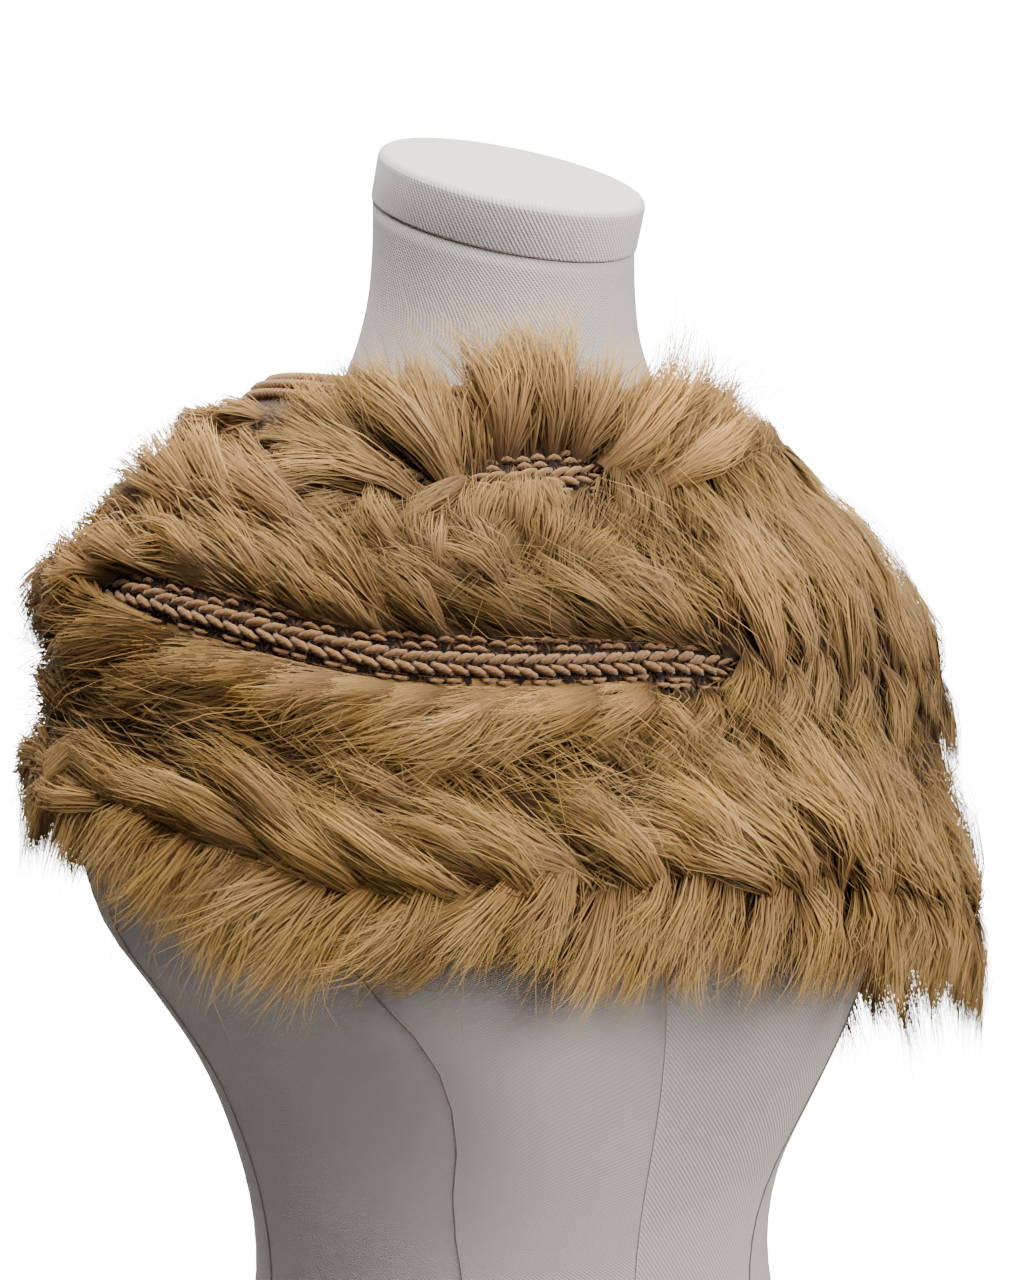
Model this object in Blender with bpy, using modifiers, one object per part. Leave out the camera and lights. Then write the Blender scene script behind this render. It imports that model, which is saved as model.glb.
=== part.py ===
"""A fur collar wrap worn on a limbless dress form.

The wrap is a knitted tube worn round the shoulders. Three rows of braid run
round it, and fur stands along both edges of every row. The form is a smooth
hip-length torso with a neck and a sloping neck cap.

+Z is up, the front of the form faces -Y and the wearer's left is +X. The
origin is the middle of the flat base. Tables and named sizes are in
millimetres, and an azimuth runs from the front towards the wearer's left.
"""

import math
from collections import namedtuple

import bmesh
import bpy
import numpy as np
from mathutils import Matrix

MM = 0.001
COLLECTION = "fur_collar_wrap"
TURN = 2 * math.pi
FINE_TURN = 720           # straight steps that stand in for one turn of a ring

# ------------------------------------------------------------ driving sizes
SEAM_GAP = 0.3            # between pieces that meet
ROOT_GAP = 0.8            # between a braid's edge and the backing of its fur

FORM_COLUMNS = 40         # faces round the torso
CAP_HEIGHT = 22.0
CAP_ROUNDING = 4.0
CAP_OVERHANG = 0.8        # the cap is this much wider than the neck under it
CAP_CORNERS = 48
CAP_BEVELS = 3

WALL = 2.5                # knitted wall
WALL_COLUMNS = 66
LAID_ON = 0.8             # a braid clears the wall under it by this much
BACKING = 1.3             # the fur's backing stands this far outside the wall

BRAID_WIDTH = 15.0
BRAID_THICKNESS = 3.2
BRAID_GROOVE = 0.55       # thickness between the two cords over their thickness
PLAIN_PITCH = 12.6        # between cross-sections where the stitches are covered
STITCH_PITCH = 5.6
STITCH_RISE = 1.5
STITCHED = ((-88, 6), (136, 214))   # stretches of the middle row that show, degrees

RIB_RADIUS = 3.4
RIB_COLUMNS = 60
RIB_CORNERS = 6

FUR_ROOT = 3.0            # thickness where the fur leaves a braid that shows
COVERED_ROOT = 7.5        # thickness where the fur closes over a covered braid
PARTING = 1.0             # from a covered braid's middle to the fur each side
COVER_RAMP = 11           # degrees in which the fur closes over the braid
FUR_VALLEY = 0.62         # height between two locks over the height of a lock
ARCH = ((0.3, 0.7), (0.72, 1.0))    # share of a lock's length, share of its height
MEETING = 0.85            # height where two bands meet over the height of a lock
FUR_TIP = 2.0             # thickness at a free end
SHORT_LOCK = 0.84         # reach between two tips over the reach of a tip
RIB_CLEARANCE = 4.6       # the neck fur's back passes this far outside the wall
RIB_APPROACH = (0.4, 0.75)          # share of the reach, share of the clearance there

# -------------------------------------------------------------------- tables
FormSection = namedtuple("FormSection", "z tilt half_width front back power")
FORM = [
    FormSection(0, 0, 157, 111, 118, 2.2),
    FormSection(40, 0, 162, 113, 122, 2.2),
    FormSection(80, 0, 161, 112, 120, 2.2),
    FormSection(115, 0, 151, 108, 113, 2.2),
    FormSection(150, 0, 136, 102, 101, 2.15),
    FormSection(185, 0, 123, 97.5, 90, 2.15),
    FormSection(220, 0, 117, 96, 84, 2.15),
    FormSection(255, 0, 119.5, 100, 85, 2.15),
    FormSection(290, 0, 129, 108, 89, 2.2),
    FormSection(320, 0, 142, 114, 95, 2.2),
    FormSection(350, 0, 161, 117, 101, 2.25),
    FormSection(380, 0, 181, 116, 106, 2.3),
    FormSection(415, 0, 190, 113, 109, 2.35),
    FormSection(455, 0, 191, 107, 109, 2.35),
    FormSection(490, 0, 186, 100, 107, 2.3),
    FormSection(515, 0, 168, 93, 103, 2.3),
    FormSection(535, 0, 148, 85, 98, 2.3),
    FormSection(552, 0, 126, 77, 91, 2.25),
    FormSection(567, 1, 105, 70, 83, 2.2),
    FormSection(582, 4, 84, 65, 74, 2.1),
    FormSection(600, 9, 69, 60, 66, 2.05),
    FormSection(625, 15, 60, 58, 61, 2),
    FormSection(648, 20, 57, 59, 60, 2),
    FormSection(669, 22, 56.5, 60, 60, 2),
]

Bump = namedtuple("Bump", "side height rise spread_side spread_height")
BUST = Bump(side=86, height=338, rise=24, spread_side=44, spread_height=46)

# One value for each station round the wrap, every 45 degrees.
Ring = namedtuple("Ring", "front front_left left back_left back back_right right front_right")
HEIGHTS = {
    "top":      Ring(588, 592, 588, 584, 590, 596, 598, 590),
    "neck_row": Ring(561, 566, 566, 558, 562, 570, 573, 556),
    "upper":    Ring(526, 524, 520, 508, 514, 528, 546, 524),
    "row_1":    Ring(486, 472, 458, 440, 450, 485, 517, 491),
    "lower":    Ring(447, 426, 401, 374, 388, 442, 486, 454),
    "row_2":    Ring(406, 380, 342, 304, 326, 400, 453, 414),
    "edge":     Ring(394, 368, 330, 292, 314, 388, 441, 402),
    "tips":     Ring(357, 331, 268, 206, 250, 343, 401, 366),
}
RADII = {
    "top":      Ring(88, 92, 91, 96, 96, 104, 104, 96),
    "neck_row": Ring(102, 109, 113, 122, 116, 126, 130, 118),
    "upper":    Ring(117, 141, 172, 156, 122, 146, 164, 140),
    "row_1":    Ring(128, 159, 204, 172, 130, 157, 190, 153),
    "lower":    Ring(135, 168, 212, 180, 136, 161, 192.3, 159),
    "row_2":    Ring(140, 174, 217, 186, 140, 165, 195.2, 165),
    "edge":     Ring(141, 175, 218, 187, 141, 166, 196.2, 166),
    "tips":     Ring(146, 179, 221, 191, 146, 172, 206, 173),
}
NECK_REACH = Ring(26, 24, 14, 16, 20, 14, -3, 20)     # fur beyond the top edge
NECK_PILE = Ring(20, 22, 18, 18, 19, 17, 12, 19)
BODY_PILE = Ring(19, 20, 20, 20, 19, 20, 21, 19)
HEM_PILE = Ring(17, 19, 21, 20, 18, 18, 19, 17)
LEAN = Ring(-0.55, -0.25, -0.15, 0.35, 0.3, -0.3, -1.1, -0.9)   # sideways per unit of length

# name, row that it grows from, way along the wall, ring where it ends, locks
FurBand = namedtuple("FurBand", "name row way end locks pile lean")
FUR_BANDS = [
    FurBand("fur_neck", "neck_row", -1, None, 34, NECK_PILE, 0.35),
    FurBand("fur_shoulder_upper", "neck_row", 1, "upper", 36, BODY_PILE, -0.5),
    FurBand("fur_shoulder_lower", "row_1", -1, "upper", 44, BODY_PILE, 1.0),
    FurBand("fur_chest_upper", "row_1", 1, "lower", 44, BODY_PILE, 0.9),
    FurBand("fur_chest_lower", "row_2", -1, "lower", 44, BODY_PILE, 0.9),
    FurBand("fur_hem", "row_2", 1, "tips", 48, HEM_PILE, 0.5),
]

Finish = namedtuple("Finish", "name colour roughness")
FORM_CLOTH = Finish("form_cloth", (0.62, 0.58, 0.55), 0.85)
CAP_CLOTH = Finish("cap_cloth", (0.72, 0.71, 0.69), 0.8)
KNIT = Finish("knit", (0.24, 0.13, 0.085), 0.9)
BRAID = Finish("braid_yarn", (0.30, 0.17, 0.11), 0.9)
FUR = Finish("fur", (0.40, 0.27, 0.13), 0.75)


# ---------------------------------------------------------- curved distances
def between(a, b, c, d, u):
    """Catmull-Rom cubic from b to c at the share u of the way."""
    return b + 0.5 * u * (c - a + u * (2 * a - 5 * b + 4 * c - d + u * (3 * (b - c) + d - a)))


def smooth_ring(values, azimuth):
    """Periodic cubic through the eight station values, azimuth in radians."""
    place = azimuth / TURN * len(values)
    first = math.floor(place)
    return between(*(values[(first + k) % len(values)] for k in (-1, 0, 1, 2)), place - first)


class Meridian:
    """The wall's outer line from the neck to the hem at one azimuth."""

    FINE = 8      # steps between two rings

    def __init__(self, azimuth):
        self.azimuth = azimuth
        rings = np.array([(smooth_ring(RADII[name], azimuth), smooth_ring(HEIGHTS[name], azimuth))
                          for name in HEIGHTS])
        padded = np.vstack([2 * rings[0] - rings[1], rings, 2 * rings[-1] - rings[-2]])
        steps = [between(*padded[k:k + 4], u / self.FINE)
                 for k in range(len(rings) - 1) for u in range(self.FINE)]
        self.points = np.array(steps + [rings[-1]])
        lengths = np.linalg.norm(np.diff(self.points, axis=0), axis=1)
        self.along = np.concatenate([[0.0], np.cumsum(lengths)])
        self.tangents = np.gradient(self.points, self.along, axis=0)
        self.rings = {name: self.along[k * self.FINE] for k, name in enumerate(HEIGHTS)}

    def point(self, along, out):
        """The point this far along the line, and this far outside the wall."""
        inside = min(max(along, 0.0), self.along[-1])
        radius, height = (np.interp(inside, self.along, self.points[:, k]) for k in (0, 1))
        tangent = np.array([np.interp(inside, self.along, self.tangents[:, k]) for k in (0, 1)])
        tangent /= np.linalg.norm(tangent)
        radius += tangent[0] * (along - inside) - tangent[1] * out
        height += tangent[1] * (along - inside) + tangent[0] * out
        return (radius * math.sin(self.azimuth) * MM, -radius * math.cos(self.azimuth) * MM,
                height * MM)


def lengths_round(ring, start, stop):
    """Azimuths in fine steps from start to stop, and the length round the ring to each."""
    fine = np.linspace(start, stop, FINE_TURN + 1)
    radius = np.array([smooth_ring(RADII[ring], a) for a in fine])
    points = np.stack([radius * np.sin(fine), -radius * np.cos(fine)], axis=1)
    steps = np.linalg.norm(np.diff(points, axis=0), axis=1)
    return fine, np.concatenate([[0.0], np.cumsum(steps)])


def even_azimuths(ring, count, start=0.0, stop=TURN):
    """Azimuths that divide the ring's length from start to stop evenly."""
    fine, length = lengths_round(ring, start, stop)
    return np.interp(np.arange(count) / count * length[-1], length, fine)


def wall_azimuths():
    """The azimuths of the wall's own points."""
    return even_azimuths("row_1", WALL_COLUMNS)


# ------------------------------------------------------------- object makers
def new_collection(name):
    collection = bpy.data.collections.new(name)
    bpy.context.scene.collection.children.link(collection)
    return collection


def material(finish):
    """A Principled material, made once for each finish."""
    if finish.name in bpy.data.materials:
        return bpy.data.materials[finish.name]
    made = bpy.data.materials.new(finish.name)
    made.use_nodes = True
    shader = made.node_tree.nodes["Principled BSDF"]
    shader.inputs["Base Color"].default_value = (*finish.colour, 1.0)
    shader.inputs["Roughness"].default_value = finish.roughness
    shader.inputs["Metallic"].default_value = 0.0
    made.diffuse_color = (*finish.colour, 1.0)
    return made


def add_object(name, bm, finish, collection, sharp_degrees=40):
    """Turn a bmesh into a smooth-shaded object with its own material."""
    bmesh.ops.recalc_face_normals(bm, faces=bm.faces)
    mesh = bpy.data.meshes.new(name)
    bm.to_mesh(mesh)
    bm.free()
    mesh.shade_smooth()
    mesh.set_sharp_from_angle(angle=math.radians(sharp_degrees))
    mesh.materials.append(material(finish))
    made = bpy.data.objects.new(name, mesh)
    collection.objects.link(made)
    return made


def loft(rows, close_rows=False, cap_ends=False):
    """A bmesh lofted through closed rows of points, one row after another."""
    bm = bmesh.new()
    rings = [[bm.verts.new(point) for point in row] for row in rows]
    pairs = list(zip(rings, rings[1:]))
    if close_rows:
        pairs.append((rings[-1], rings[0]))
    for first, second in pairs:
        for k in range(len(first)):
            n = (k + 1) % len(first)
            bm.faces.new((first[k], first[n], second[n], second[k]))
    if cap_ends:
        bm.faces.new(rings[0])
        bm.faces.new(rings[-1])
    return bm


# --------------------------------------------------------------- dress form
def bust_rise(x, z):
    """How far the bust stands out of the section at this side and height."""
    across = (abs(x) - BUST.side) / BUST.spread_side
    up = (z - BUST.height) / BUST.spread_height
    return BUST.rise * math.exp(-0.5 * (across * across + up * up))


def form_ring(section):
    """One closed row of points round the torso, in metres."""
    tilt = math.radians(section.tilt)
    row = []
    for k in range(FORM_COLUMNS):
        turn = TURN * k / FORM_COLUMNS
        side, ahead = math.sin(turn), math.cos(turn)
        x = section.half_width * math.copysign(abs(side) ** (2 / section.power), side)
        depth = section.front if ahead > 0 else section.back
        y = -depth * math.copysign(abs(ahead) ** (2 / section.power), ahead)
        if ahead > 0:
            y -= bust_rise(x, section.z) * ahead ** 0.5
        row.append((x * MM, y * math.cos(tilt) * MM, (section.z + y * math.sin(tilt)) * MM))
    return row


def make_torso(collection):
    """The torso and neck, in one smooth body with a flat base."""
    return add_object("form_torso", loft([form_ring(s) for s in FORM], cap_ends=True),
                      FORM_CLOTH, collection)


def make_cap(collection):
    """The sloping cap that closes the neck, with a rounded top edge."""
    neck = FORM[-1]
    bm = bmesh.new()
    bmesh.ops.create_cone(bm, cap_ends=True, segments=CAP_CORNERS, radius1=1.0, radius2=1.0,
                          depth=CAP_HEIGHT * MM)
    width = (neck.half_width + CAP_OVERHANG) * MM
    depth = (neck.front + CAP_OVERHANG) * MM
    bmesh.ops.scale(bm, vec=(width, depth, 1.0), verts=bm.verts)
    made = add_object("form_neck_cap", bm, CAP_CLOTH, collection)
    tilt = Matrix.Rotation(math.radians(neck.tilt), 4, "X")
    seat = tilt @ Matrix.Translation((0, 0, (CAP_HEIGHT / 2 + SEAM_GAP) * MM))
    made.matrix_world = Matrix.Translation((0, 0, neck.z * MM)) @ seat
    bevel = made.modifiers.new("rounding", "BEVEL")
    bevel.width = CAP_ROUNDING * MM
    bevel.segments = CAP_BEVELS
    bevel.limit_method = "ANGLE"
    return made


# --------------------------------------------------------------- knitted tube
def wall_rows(meridian):
    """How far along the meridian the wall has points, from the hem up."""
    half = BRAID_WIDTH / 2
    at = meridian.rings
    rows = [at["edge"]]
    for row, above in (("row_2", "lower"), ("row_1", "upper")):
        rows += [at[row] + half, at[row] - half, (at[row] - half + at[above]) / 2, at[above]]
        below_next = at["row_1" if above == "lower" else "neck_row"] + half
        rows.append((at[above] + below_next) / 2)
    return rows + [at["neck_row"] + half, at["neck_row"] - half, at["top"]]


def make_tube(collection):
    """The knitted tube, an open surface thickened inwards."""
    columns = [Meridian(azimuth) for azimuth in wall_azimuths()]
    rows = zip(*([m.point(along, 0.0) for along in wall_rows(m)] for m in columns))
    tube = add_object("knit_tube", loft(list(rows)), KNIT, collection)
    shell = tube.modifiers.new("wall", "SOLIDIFY")
    shell.thickness = WALL * MM
    shell.offset = -1.0
    shell.use_even_offset = True
    return tube


def make_rib(collection):
    """The thick knitted edge round the neck opening."""
    rows = []
    for azimuth in even_azimuths("top", RIB_COLUMNS):
        meridian = Meridian(azimuth)
        rows.append([meridian.point(RIB_RADIUS * (math.cos(turn) - 1) - SEAM_GAP,
                                    RIB_RADIUS * math.sin(turn) - WALL / 2)
                     for turn in (TURN * k / RIB_CORNERS for k in range(RIB_CORNERS))])
    return add_object("knit_top_rib", loft(rows, close_rows=True), KNIT, collection)


def braid_row(azimuth, row, rise):
    """One cross-section of a braid: two cords with a groove between them."""
    meridian = Meridian(azimuth)
    middle = meridian.rings[row]
    half = BRAID_WIDTH / 2
    crown = LAID_ON + BRAID_THICKNESS + rise
    groove = LAID_ON + BRAID_THICKNESS * BRAID_GROOVE
    outline = [(-half, LAID_ON), (-half / 2, crown), (0.0, groove), (half / 2, crown),
               (half, LAID_ON)]
    return [meridian.point(middle + along, out) for along, out in outline]


def make_plain_braid(name, row, collection):
    """A braid that the fur covers, with no stitches raised."""
    rows = [braid_row(azimuth, row, 0.0) for azimuth in wall_azimuths()]
    return add_object(name, loft(rows, close_rows=True), BRAID, collection)


def make_stitched_braid(name, row, collection):
    """The braid that shows: stitches rise along the stretches named above."""
    edges = [math.radians(a) for pair in STITCHED for a in pair]
    edges.append(edges[0] + TURN)
    rows = []
    for k, (start, stop) in enumerate(zip(edges, edges[1:])):
        length = lengths_round(row, start, stop)[1][-1]
        if k % 2 == 0:
            azimuths = even_azimuths(row, 2 * round(length / STITCH_PITCH), start, stop)
            rises = [STITCH_RISE * (n % 2) for n in range(len(azimuths))]
        else:
            azimuths = even_azimuths(row, round(length / PLAIN_PITCH), start, stop)
            rises = [0.0] * len(azimuths)
        rows += [braid_row(azimuth, row, rise) for azimuth, rise in zip(azimuths, rises)]
    return add_object(name, loft(rows, close_rows=True), BRAID, collection)


# ------------------------------------------------------------------------ fur
def cover(row, azimuth):
    """How far the fur closes over a row's braid here, from 0 to 1."""
    if row != "row_1":
        return 1.0
    degrees = math.degrees(azimuth) % 360
    away = min(max((first - degrees + 180) % 360 - 180, (degrees - last + 180) % 360 - 180)
               for first, last in STITCHED)
    return min(max(away / COVER_RAMP, 0.0), 1.0)


def lock_end(meridian, band):
    """Where a band ends along the meridian: a free end, or just short of the next band."""
    if band.end is None:
        return -smooth_ring(NECK_REACH, meridian.azimuth)
    end = meridian.rings[band.end]
    return end if band.end == "tips" else end - band.way * SEAM_GAP


def lock_point(band, azimuth, share, out):
    """The point at this share of the length of the lock that leaves its row here."""
    root_offset = band.way * (BRAID_WIDTH / 2 + ROOT_GAP)
    upright = Meridian(azimuth)
    length = abs(lock_end(upright, band) - upright.rings[band.row] - root_offset) * share
    lean = smooth_ring(LEAN, azimuth) * band.lean
    meridian = Meridian(azimuth + lean * length / smooth_ring(RADII[band.row], azimuth))
    root = meridian.rings[band.row] + root_offset
    return meridian.point(root + (lock_end(meridian, band) - root) * share, out)


def lock_row(band, azimuth, ridge):
    """One cross-section of a band, along a lock's ridge or between two locks."""
    free = band.end in (None, "tips")
    height = smooth_ring(band.pile, azimuth) * (1.0 if ridge else FUR_VALLEY)
    reach = SHORT_LOCK if free and not ridge else 1.0
    closed = cover(band.row, azimuth)
    meridian = Meridian(azimuth)
    overhang = BRAID_WIDTH / 2 - closed * (BRAID_WIDTH / 2 - PARTING)
    root = meridian.point(meridian.rings[band.row] + band.way * (overhang + ROOT_GAP),
                          BACKING + FUR_ROOT + closed * (COVERED_ROOT - FUR_ROOT))
    if band.end is None:
        end = [(1.0, RIB_CLEARANCE + FUR_TIP), (1.0, RIB_CLEARANCE),
               (RIB_APPROACH[0], RIB_APPROACH[1] * RIB_CLEARANCE), (0.0, BACKING)]
    elif free:
        end = [(1.0, BACKING + FUR_TIP), (1.0, BACKING), (0.5, BACKING), (0.0, BACKING)]
    else:
        end = [(1.0, BACKING + MEETING * height), (1.0, BACKING), (0.5, BACKING), (0.0, BACKING)]
    outline = [(share, BACKING + rise * height) for share, rise in ARCH] + end
    return [root] + [lock_point(band, azimuth, share * reach, out) for share, out in outline]


def make_fur(band, collection):
    """A band of pile: locks side by side, thick at the end away from its row."""
    rows = [lock_row(band, azimuth, ridge=column % 2 == 0)
            for column, azimuth in enumerate(even_azimuths(band.row, 2 * band.locks))]
    return add_object(band.name, loft(rows, close_rows=True), FUR, collection)


# ---------------------------------------------------------------------- build
def main():
    """Empty the file, then build the form and the wrap's pieces."""
    for thing in list(bpy.data.objects):
        bpy.data.objects.remove(thing, do_unlink=True)
    collection = new_collection(COLLECTION)
    make_torso(collection)
    make_cap(collection)
    make_tube(collection)
    make_rib(collection)
    make_plain_braid("braid_neck", "neck_row", collection)
    make_stitched_braid("braid_shoulder", "row_1", collection)
    make_plain_braid("braid_lower", "row_2", collection)
    for band in FUR_BANDS:
        make_fur(band, collection)


main()
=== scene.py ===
"""Visual model of a fur collar wrap worn on a limbless dress form.

The wrap is a knitted tube with three braided rows. Long fur stands along both
edges of every row, gathered into locks. The form is covered in twill cloth and
ends in a sloping neck cap.

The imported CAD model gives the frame: +Z is up, the front of the form faces -Y
and the wearer's left is +X. Tables are in millimetres, and an azimuth runs
from the front towards the wearer's left.
"""

import logging
import math
from collections.abc import Callable, Iterable
from dataclasses import dataclass, field
from enum import Enum
from typing import NamedTuple

import bpy
import numpy as np
from mathutils import Matrix, Vector


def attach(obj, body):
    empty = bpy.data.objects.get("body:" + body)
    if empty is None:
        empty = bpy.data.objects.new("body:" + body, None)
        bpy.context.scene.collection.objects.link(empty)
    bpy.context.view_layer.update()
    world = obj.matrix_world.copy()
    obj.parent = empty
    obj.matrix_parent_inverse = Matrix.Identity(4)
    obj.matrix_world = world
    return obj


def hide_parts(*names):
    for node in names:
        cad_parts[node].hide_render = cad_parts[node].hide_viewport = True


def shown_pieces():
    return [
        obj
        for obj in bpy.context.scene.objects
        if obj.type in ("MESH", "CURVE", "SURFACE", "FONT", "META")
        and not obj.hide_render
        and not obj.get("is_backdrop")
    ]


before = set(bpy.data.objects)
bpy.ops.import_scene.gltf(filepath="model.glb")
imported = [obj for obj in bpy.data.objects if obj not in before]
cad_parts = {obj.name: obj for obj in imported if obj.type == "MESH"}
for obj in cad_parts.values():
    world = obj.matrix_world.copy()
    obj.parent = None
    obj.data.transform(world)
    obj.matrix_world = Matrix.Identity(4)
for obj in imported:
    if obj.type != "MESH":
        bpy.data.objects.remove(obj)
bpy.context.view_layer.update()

LOG = logging.getLogger("fur_collar_wrap")
BODY = "root"
MM = 0.001
TURN = 2 * math.pi
FRONT = np.array([0.0, -1.0, 0.0])

Array = np.ndarray
Pair = tuple[float, float]
Triple = tuple[float, float, float]
Colour = Triple
Object = bpy.types.Object
Material = bpy.types.Material
Rng = np.random.Generator
Socket = bpy.types.NodeSocket


# ---- tables
class Ring(NamedTuple):
    """One value for each station round the wrap, every 45 degrees."""

    front: float
    front_left: float
    left: float
    back_left: float
    back: float
    back_right: float
    right: float
    front_right: float


HEIGHTS = {
    "top": Ring(588, 592, 588, 584, 590, 596, 598, 590),
    "neck_row": Ring(561, 566, 566, 558, 562, 570, 573, 556),
    "upper": Ring(526, 524, 520, 508, 514, 528, 546, 524),
    "row_1": Ring(486, 472, 458, 440, 450, 485, 517, 491),
    "lower": Ring(447, 426, 401, 374, 388, 442, 486, 454),
    "row_2": Ring(406, 380, 342, 304, 326, 400, 453, 414),
    "edge": Ring(394, 368, 330, 292, 314, 388, 441, 402),
    "tips": Ring(357, 331, 268, 206, 250, 343, 401, 366),
}
RADII = {
    "top": Ring(88, 92, 91, 96, 96, 104, 104, 96),
    "neck_row": Ring(102, 109, 113, 122, 116, 126, 130, 118),
    "upper": Ring(117, 141, 172, 156, 122, 146, 164, 140),
    "row_1": Ring(128, 159, 204, 172, 130, 157, 190, 153),
    "lower": Ring(135, 168, 212, 180, 136, 161, 192.3, 159),
    "row_2": Ring(140, 174, 217, 186, 140, 165, 195.2, 165),
    "edge": Ring(141, 175, 218, 187, 141, 166, 196.2, 166),
    "tips": Ring(146, 179, 221, 191, 146, 172, 206, 173),
}
NECK_PILE = Ring(22, 21, 19, 18, 19, 17, 13, 19)
BODY_PILE = Ring(19, 20, 20, 20, 19, 20, 21, 19)
HEM_PILE = Ring(17, 19, 21, 20, 18, 18, 19, 17)

# Stretches where a braid shows between its two rows of fur, in degrees.
SHOWING = {
    "neck_row": ((-72, -46), (-31, -17)),
    "row_1": ((-79, 4), (136, 214)),
    "row_2": (),
}
SHOW_RAMP = 9.0
EYELET_PITCH = {"neck_row": 19.5, "row_1": 19.5, "row_2": 15.8}


def named(kind: type, *rows: tuple[float, ...]) -> tuple:
    """The rows of a table with their numbers named."""
    return tuple(kind(*row) for row in rows)


class Flow(NamedTuple):
    """How a band's hairs run at one azimuth.

    Angles are in degrees: 0 leads straight away from the row along the wall, and
    a negative angle turns towards smaller azimuths.
    """

    azimuth: float
    root: float
    tip: float
    length: float
    rise: float


class Tuft(NamedTuple):
    """One large lock with its own place and direction."""

    azimuth: float
    start: float
    root: float
    tip: float
    length: float
    half: float
    rise: float


NECK_FLOW = named(
    Flow,
    (-150, -25, -40, 34, 0.6), (-122, -50, -66, 20, 0.35), (-104, -72, -86, 12, 0.15),
    (-80, -72, -86, 12, 0.15), (-70, -62, -80, 16, 0.3), (-60, -48, -62, 38, 0.65),
    (-52, -30, -44, 62, 1.0), (-45, -18, -26, 70, 1.05), (-33, -4, -6, 72, 1.05),
    (-24, 5, 2, 72, 1.05), (-17, 12, 10, 70, 1.15), (-11, 28, 24, 82, 1.45), (-3, 48, 38, 68, 1.6),
    (8, 58, 46, 52, 1.5), (20, 56, 42, 32, 1.05), (35, 26, 16, 20, 0.55), (60, 4, 0, 20, 0.35),
    (90, 5, 5, 26, 0.5), (150, 0, -5, 36, 0.8),
)
SHOULDER_DOWN_FLOW = named(
    Flow,
    (-150, -35, -55, 50, 1.0), (-110, -70, -85, 44, 0.9), (-80, -75, -88, 36, 0.7),
    (-62, -60, -80, 26, 0.3), (-45, -55, -60, 28, 0.35), (-30, -38, -36, 36, 0.45),
    (-17, -24, -32, 38, 0.48), (-4, 6, 14, 38, 0.45), (10, 10, 8, 38, 0.45), (25, 0, -5, 40, 0.5),
    (60, -10, -20, 46, 0.5), (90, -20, -30, 58, 0.6), (135, -25, -40, 60, 0.85),
    (180, -25, -45, 54, 1.0),
)
SHOULDER_UP_FLOW = named(
    Flow,
    (-150, -55, -75, 56, 1.0), (-112, -76, -88, 56, 1.0), (-90, -78, -88, 58, 1.05),
    (-68, -74, -86, 60, 1.05), (-54, -52, -72, 60, 0.85), (-42, -44, -66, 54, 0.55),
    (-30, -32, -72, 50, 0.44), (-15, -50, -74, 52, 0.45), (2, -48, -66, 60, 0.7),
    (10, -28, -34, 66, 0.95), (16, -12, -12, 76, 1.0), (35, -12, -10, 80, 0.95),
    (60, -16, -12, 76, 0.9), (90, -25, -35, 76, 0.9), (135, -28, -42, 74, 0.95),
    (180, -28, -48, 66, 1.0),
)
CHEST_DOWN_FLOW = named(
    Flow,
    (-150, -55, -70, 52, 0.95), (-112, -68, -84, 62, 1.0), (-62, -72, -85, 66, 1.0),
    (-56, -72, -84, 60, 1.0), (-50, -54, -56, 46, 1.0), (-41, -62, -60, 50, 1.0),
    (-30, -68, -70, 60, 1.0), (-12, -74, -70, 58, 1.0), (-4, -46, -60, 42, 0.95),
    (4, -22, -50, 34, 0.75), (14, -15, -30, 32, 0.6), (60, -15, -30, 36, 0.6),
    (90, -20, -35, 60, 0.85), (135, -25, -42, 68, 1.0), (180, -28, -48, 64, 1.0),
)
CHEST_UP_FLOW = named(
    Flow,
    (-150, -55, -70, 54, 1.0), (-112, -80, -82, 56, 1.0), (-70, -84, -78, 58, 1.0),
    (-61, -80, -77, 57, 1.0), (-52, -62, -78, 58, 1.0), (-45, -46, -60, 54, 1.0),
    (-30, -44, -64, 60, 1.0), (-19, -40, -62, 56, 1.0), (-8, -38, -62, 58, 1.0),
    (4, -30, -54, 60, 1.0), (10, -26, -46, 66, 1.0), (16, -14, -42, 77, 1.05),
    (23, -12, -36, 84, 1.1), (34, -15, -34, 88, 1.1), (45, -28, -30, 80, 1.05),
    (60, -26, -32, 74, 1.0), (90, -26, -40, 74, 1.0), (135, -28, -44, 74, 1.0),
    (180, -28, -50, 66, 1.0),
)
HEM_FLOW = named(
    Flow,
    (-150, -30, -35, 62, 1.0), (-112, -38, -32, 58, 1.0), (-72, -32, -20, 67, 1.0),
    (-63, -36, -28, 74, 1.0), (-56, -40, -36, 76, 1.0), (-48, -46, -28, 74, 1.0),
    (-42, -34, -40, 63, 1.0), (-33, -34, -41, 60, 1.0), (-22, -32, -32, 54, 1.0),
    (-16, -20, -21, 54, 1.0), (-5, -15, -22, 57, 1.0), (2, -8, -30, 56, 1.0),
    (15, -10, -18, 53, 1.0), (25, -7, -26, 53, 1.0), (37, 0, -24, 52, 1.0), (60, -5, -20, 58, 1.0),
    (90, -10, -20, 76, 1.0), (135, -15, -25, 98, 1.0), (170, -20, -30, 82, 1.0),
)
NECK_TUFTS = named(
    Tuft,
    (-44, -13, -57, -80, 76, 5.0, 0.85), (-48, -9, -58, -82, 60, 4.5, 0.7),
    (-40, -4, -34, -60, 70, 5.5, 1.0),
)
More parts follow.
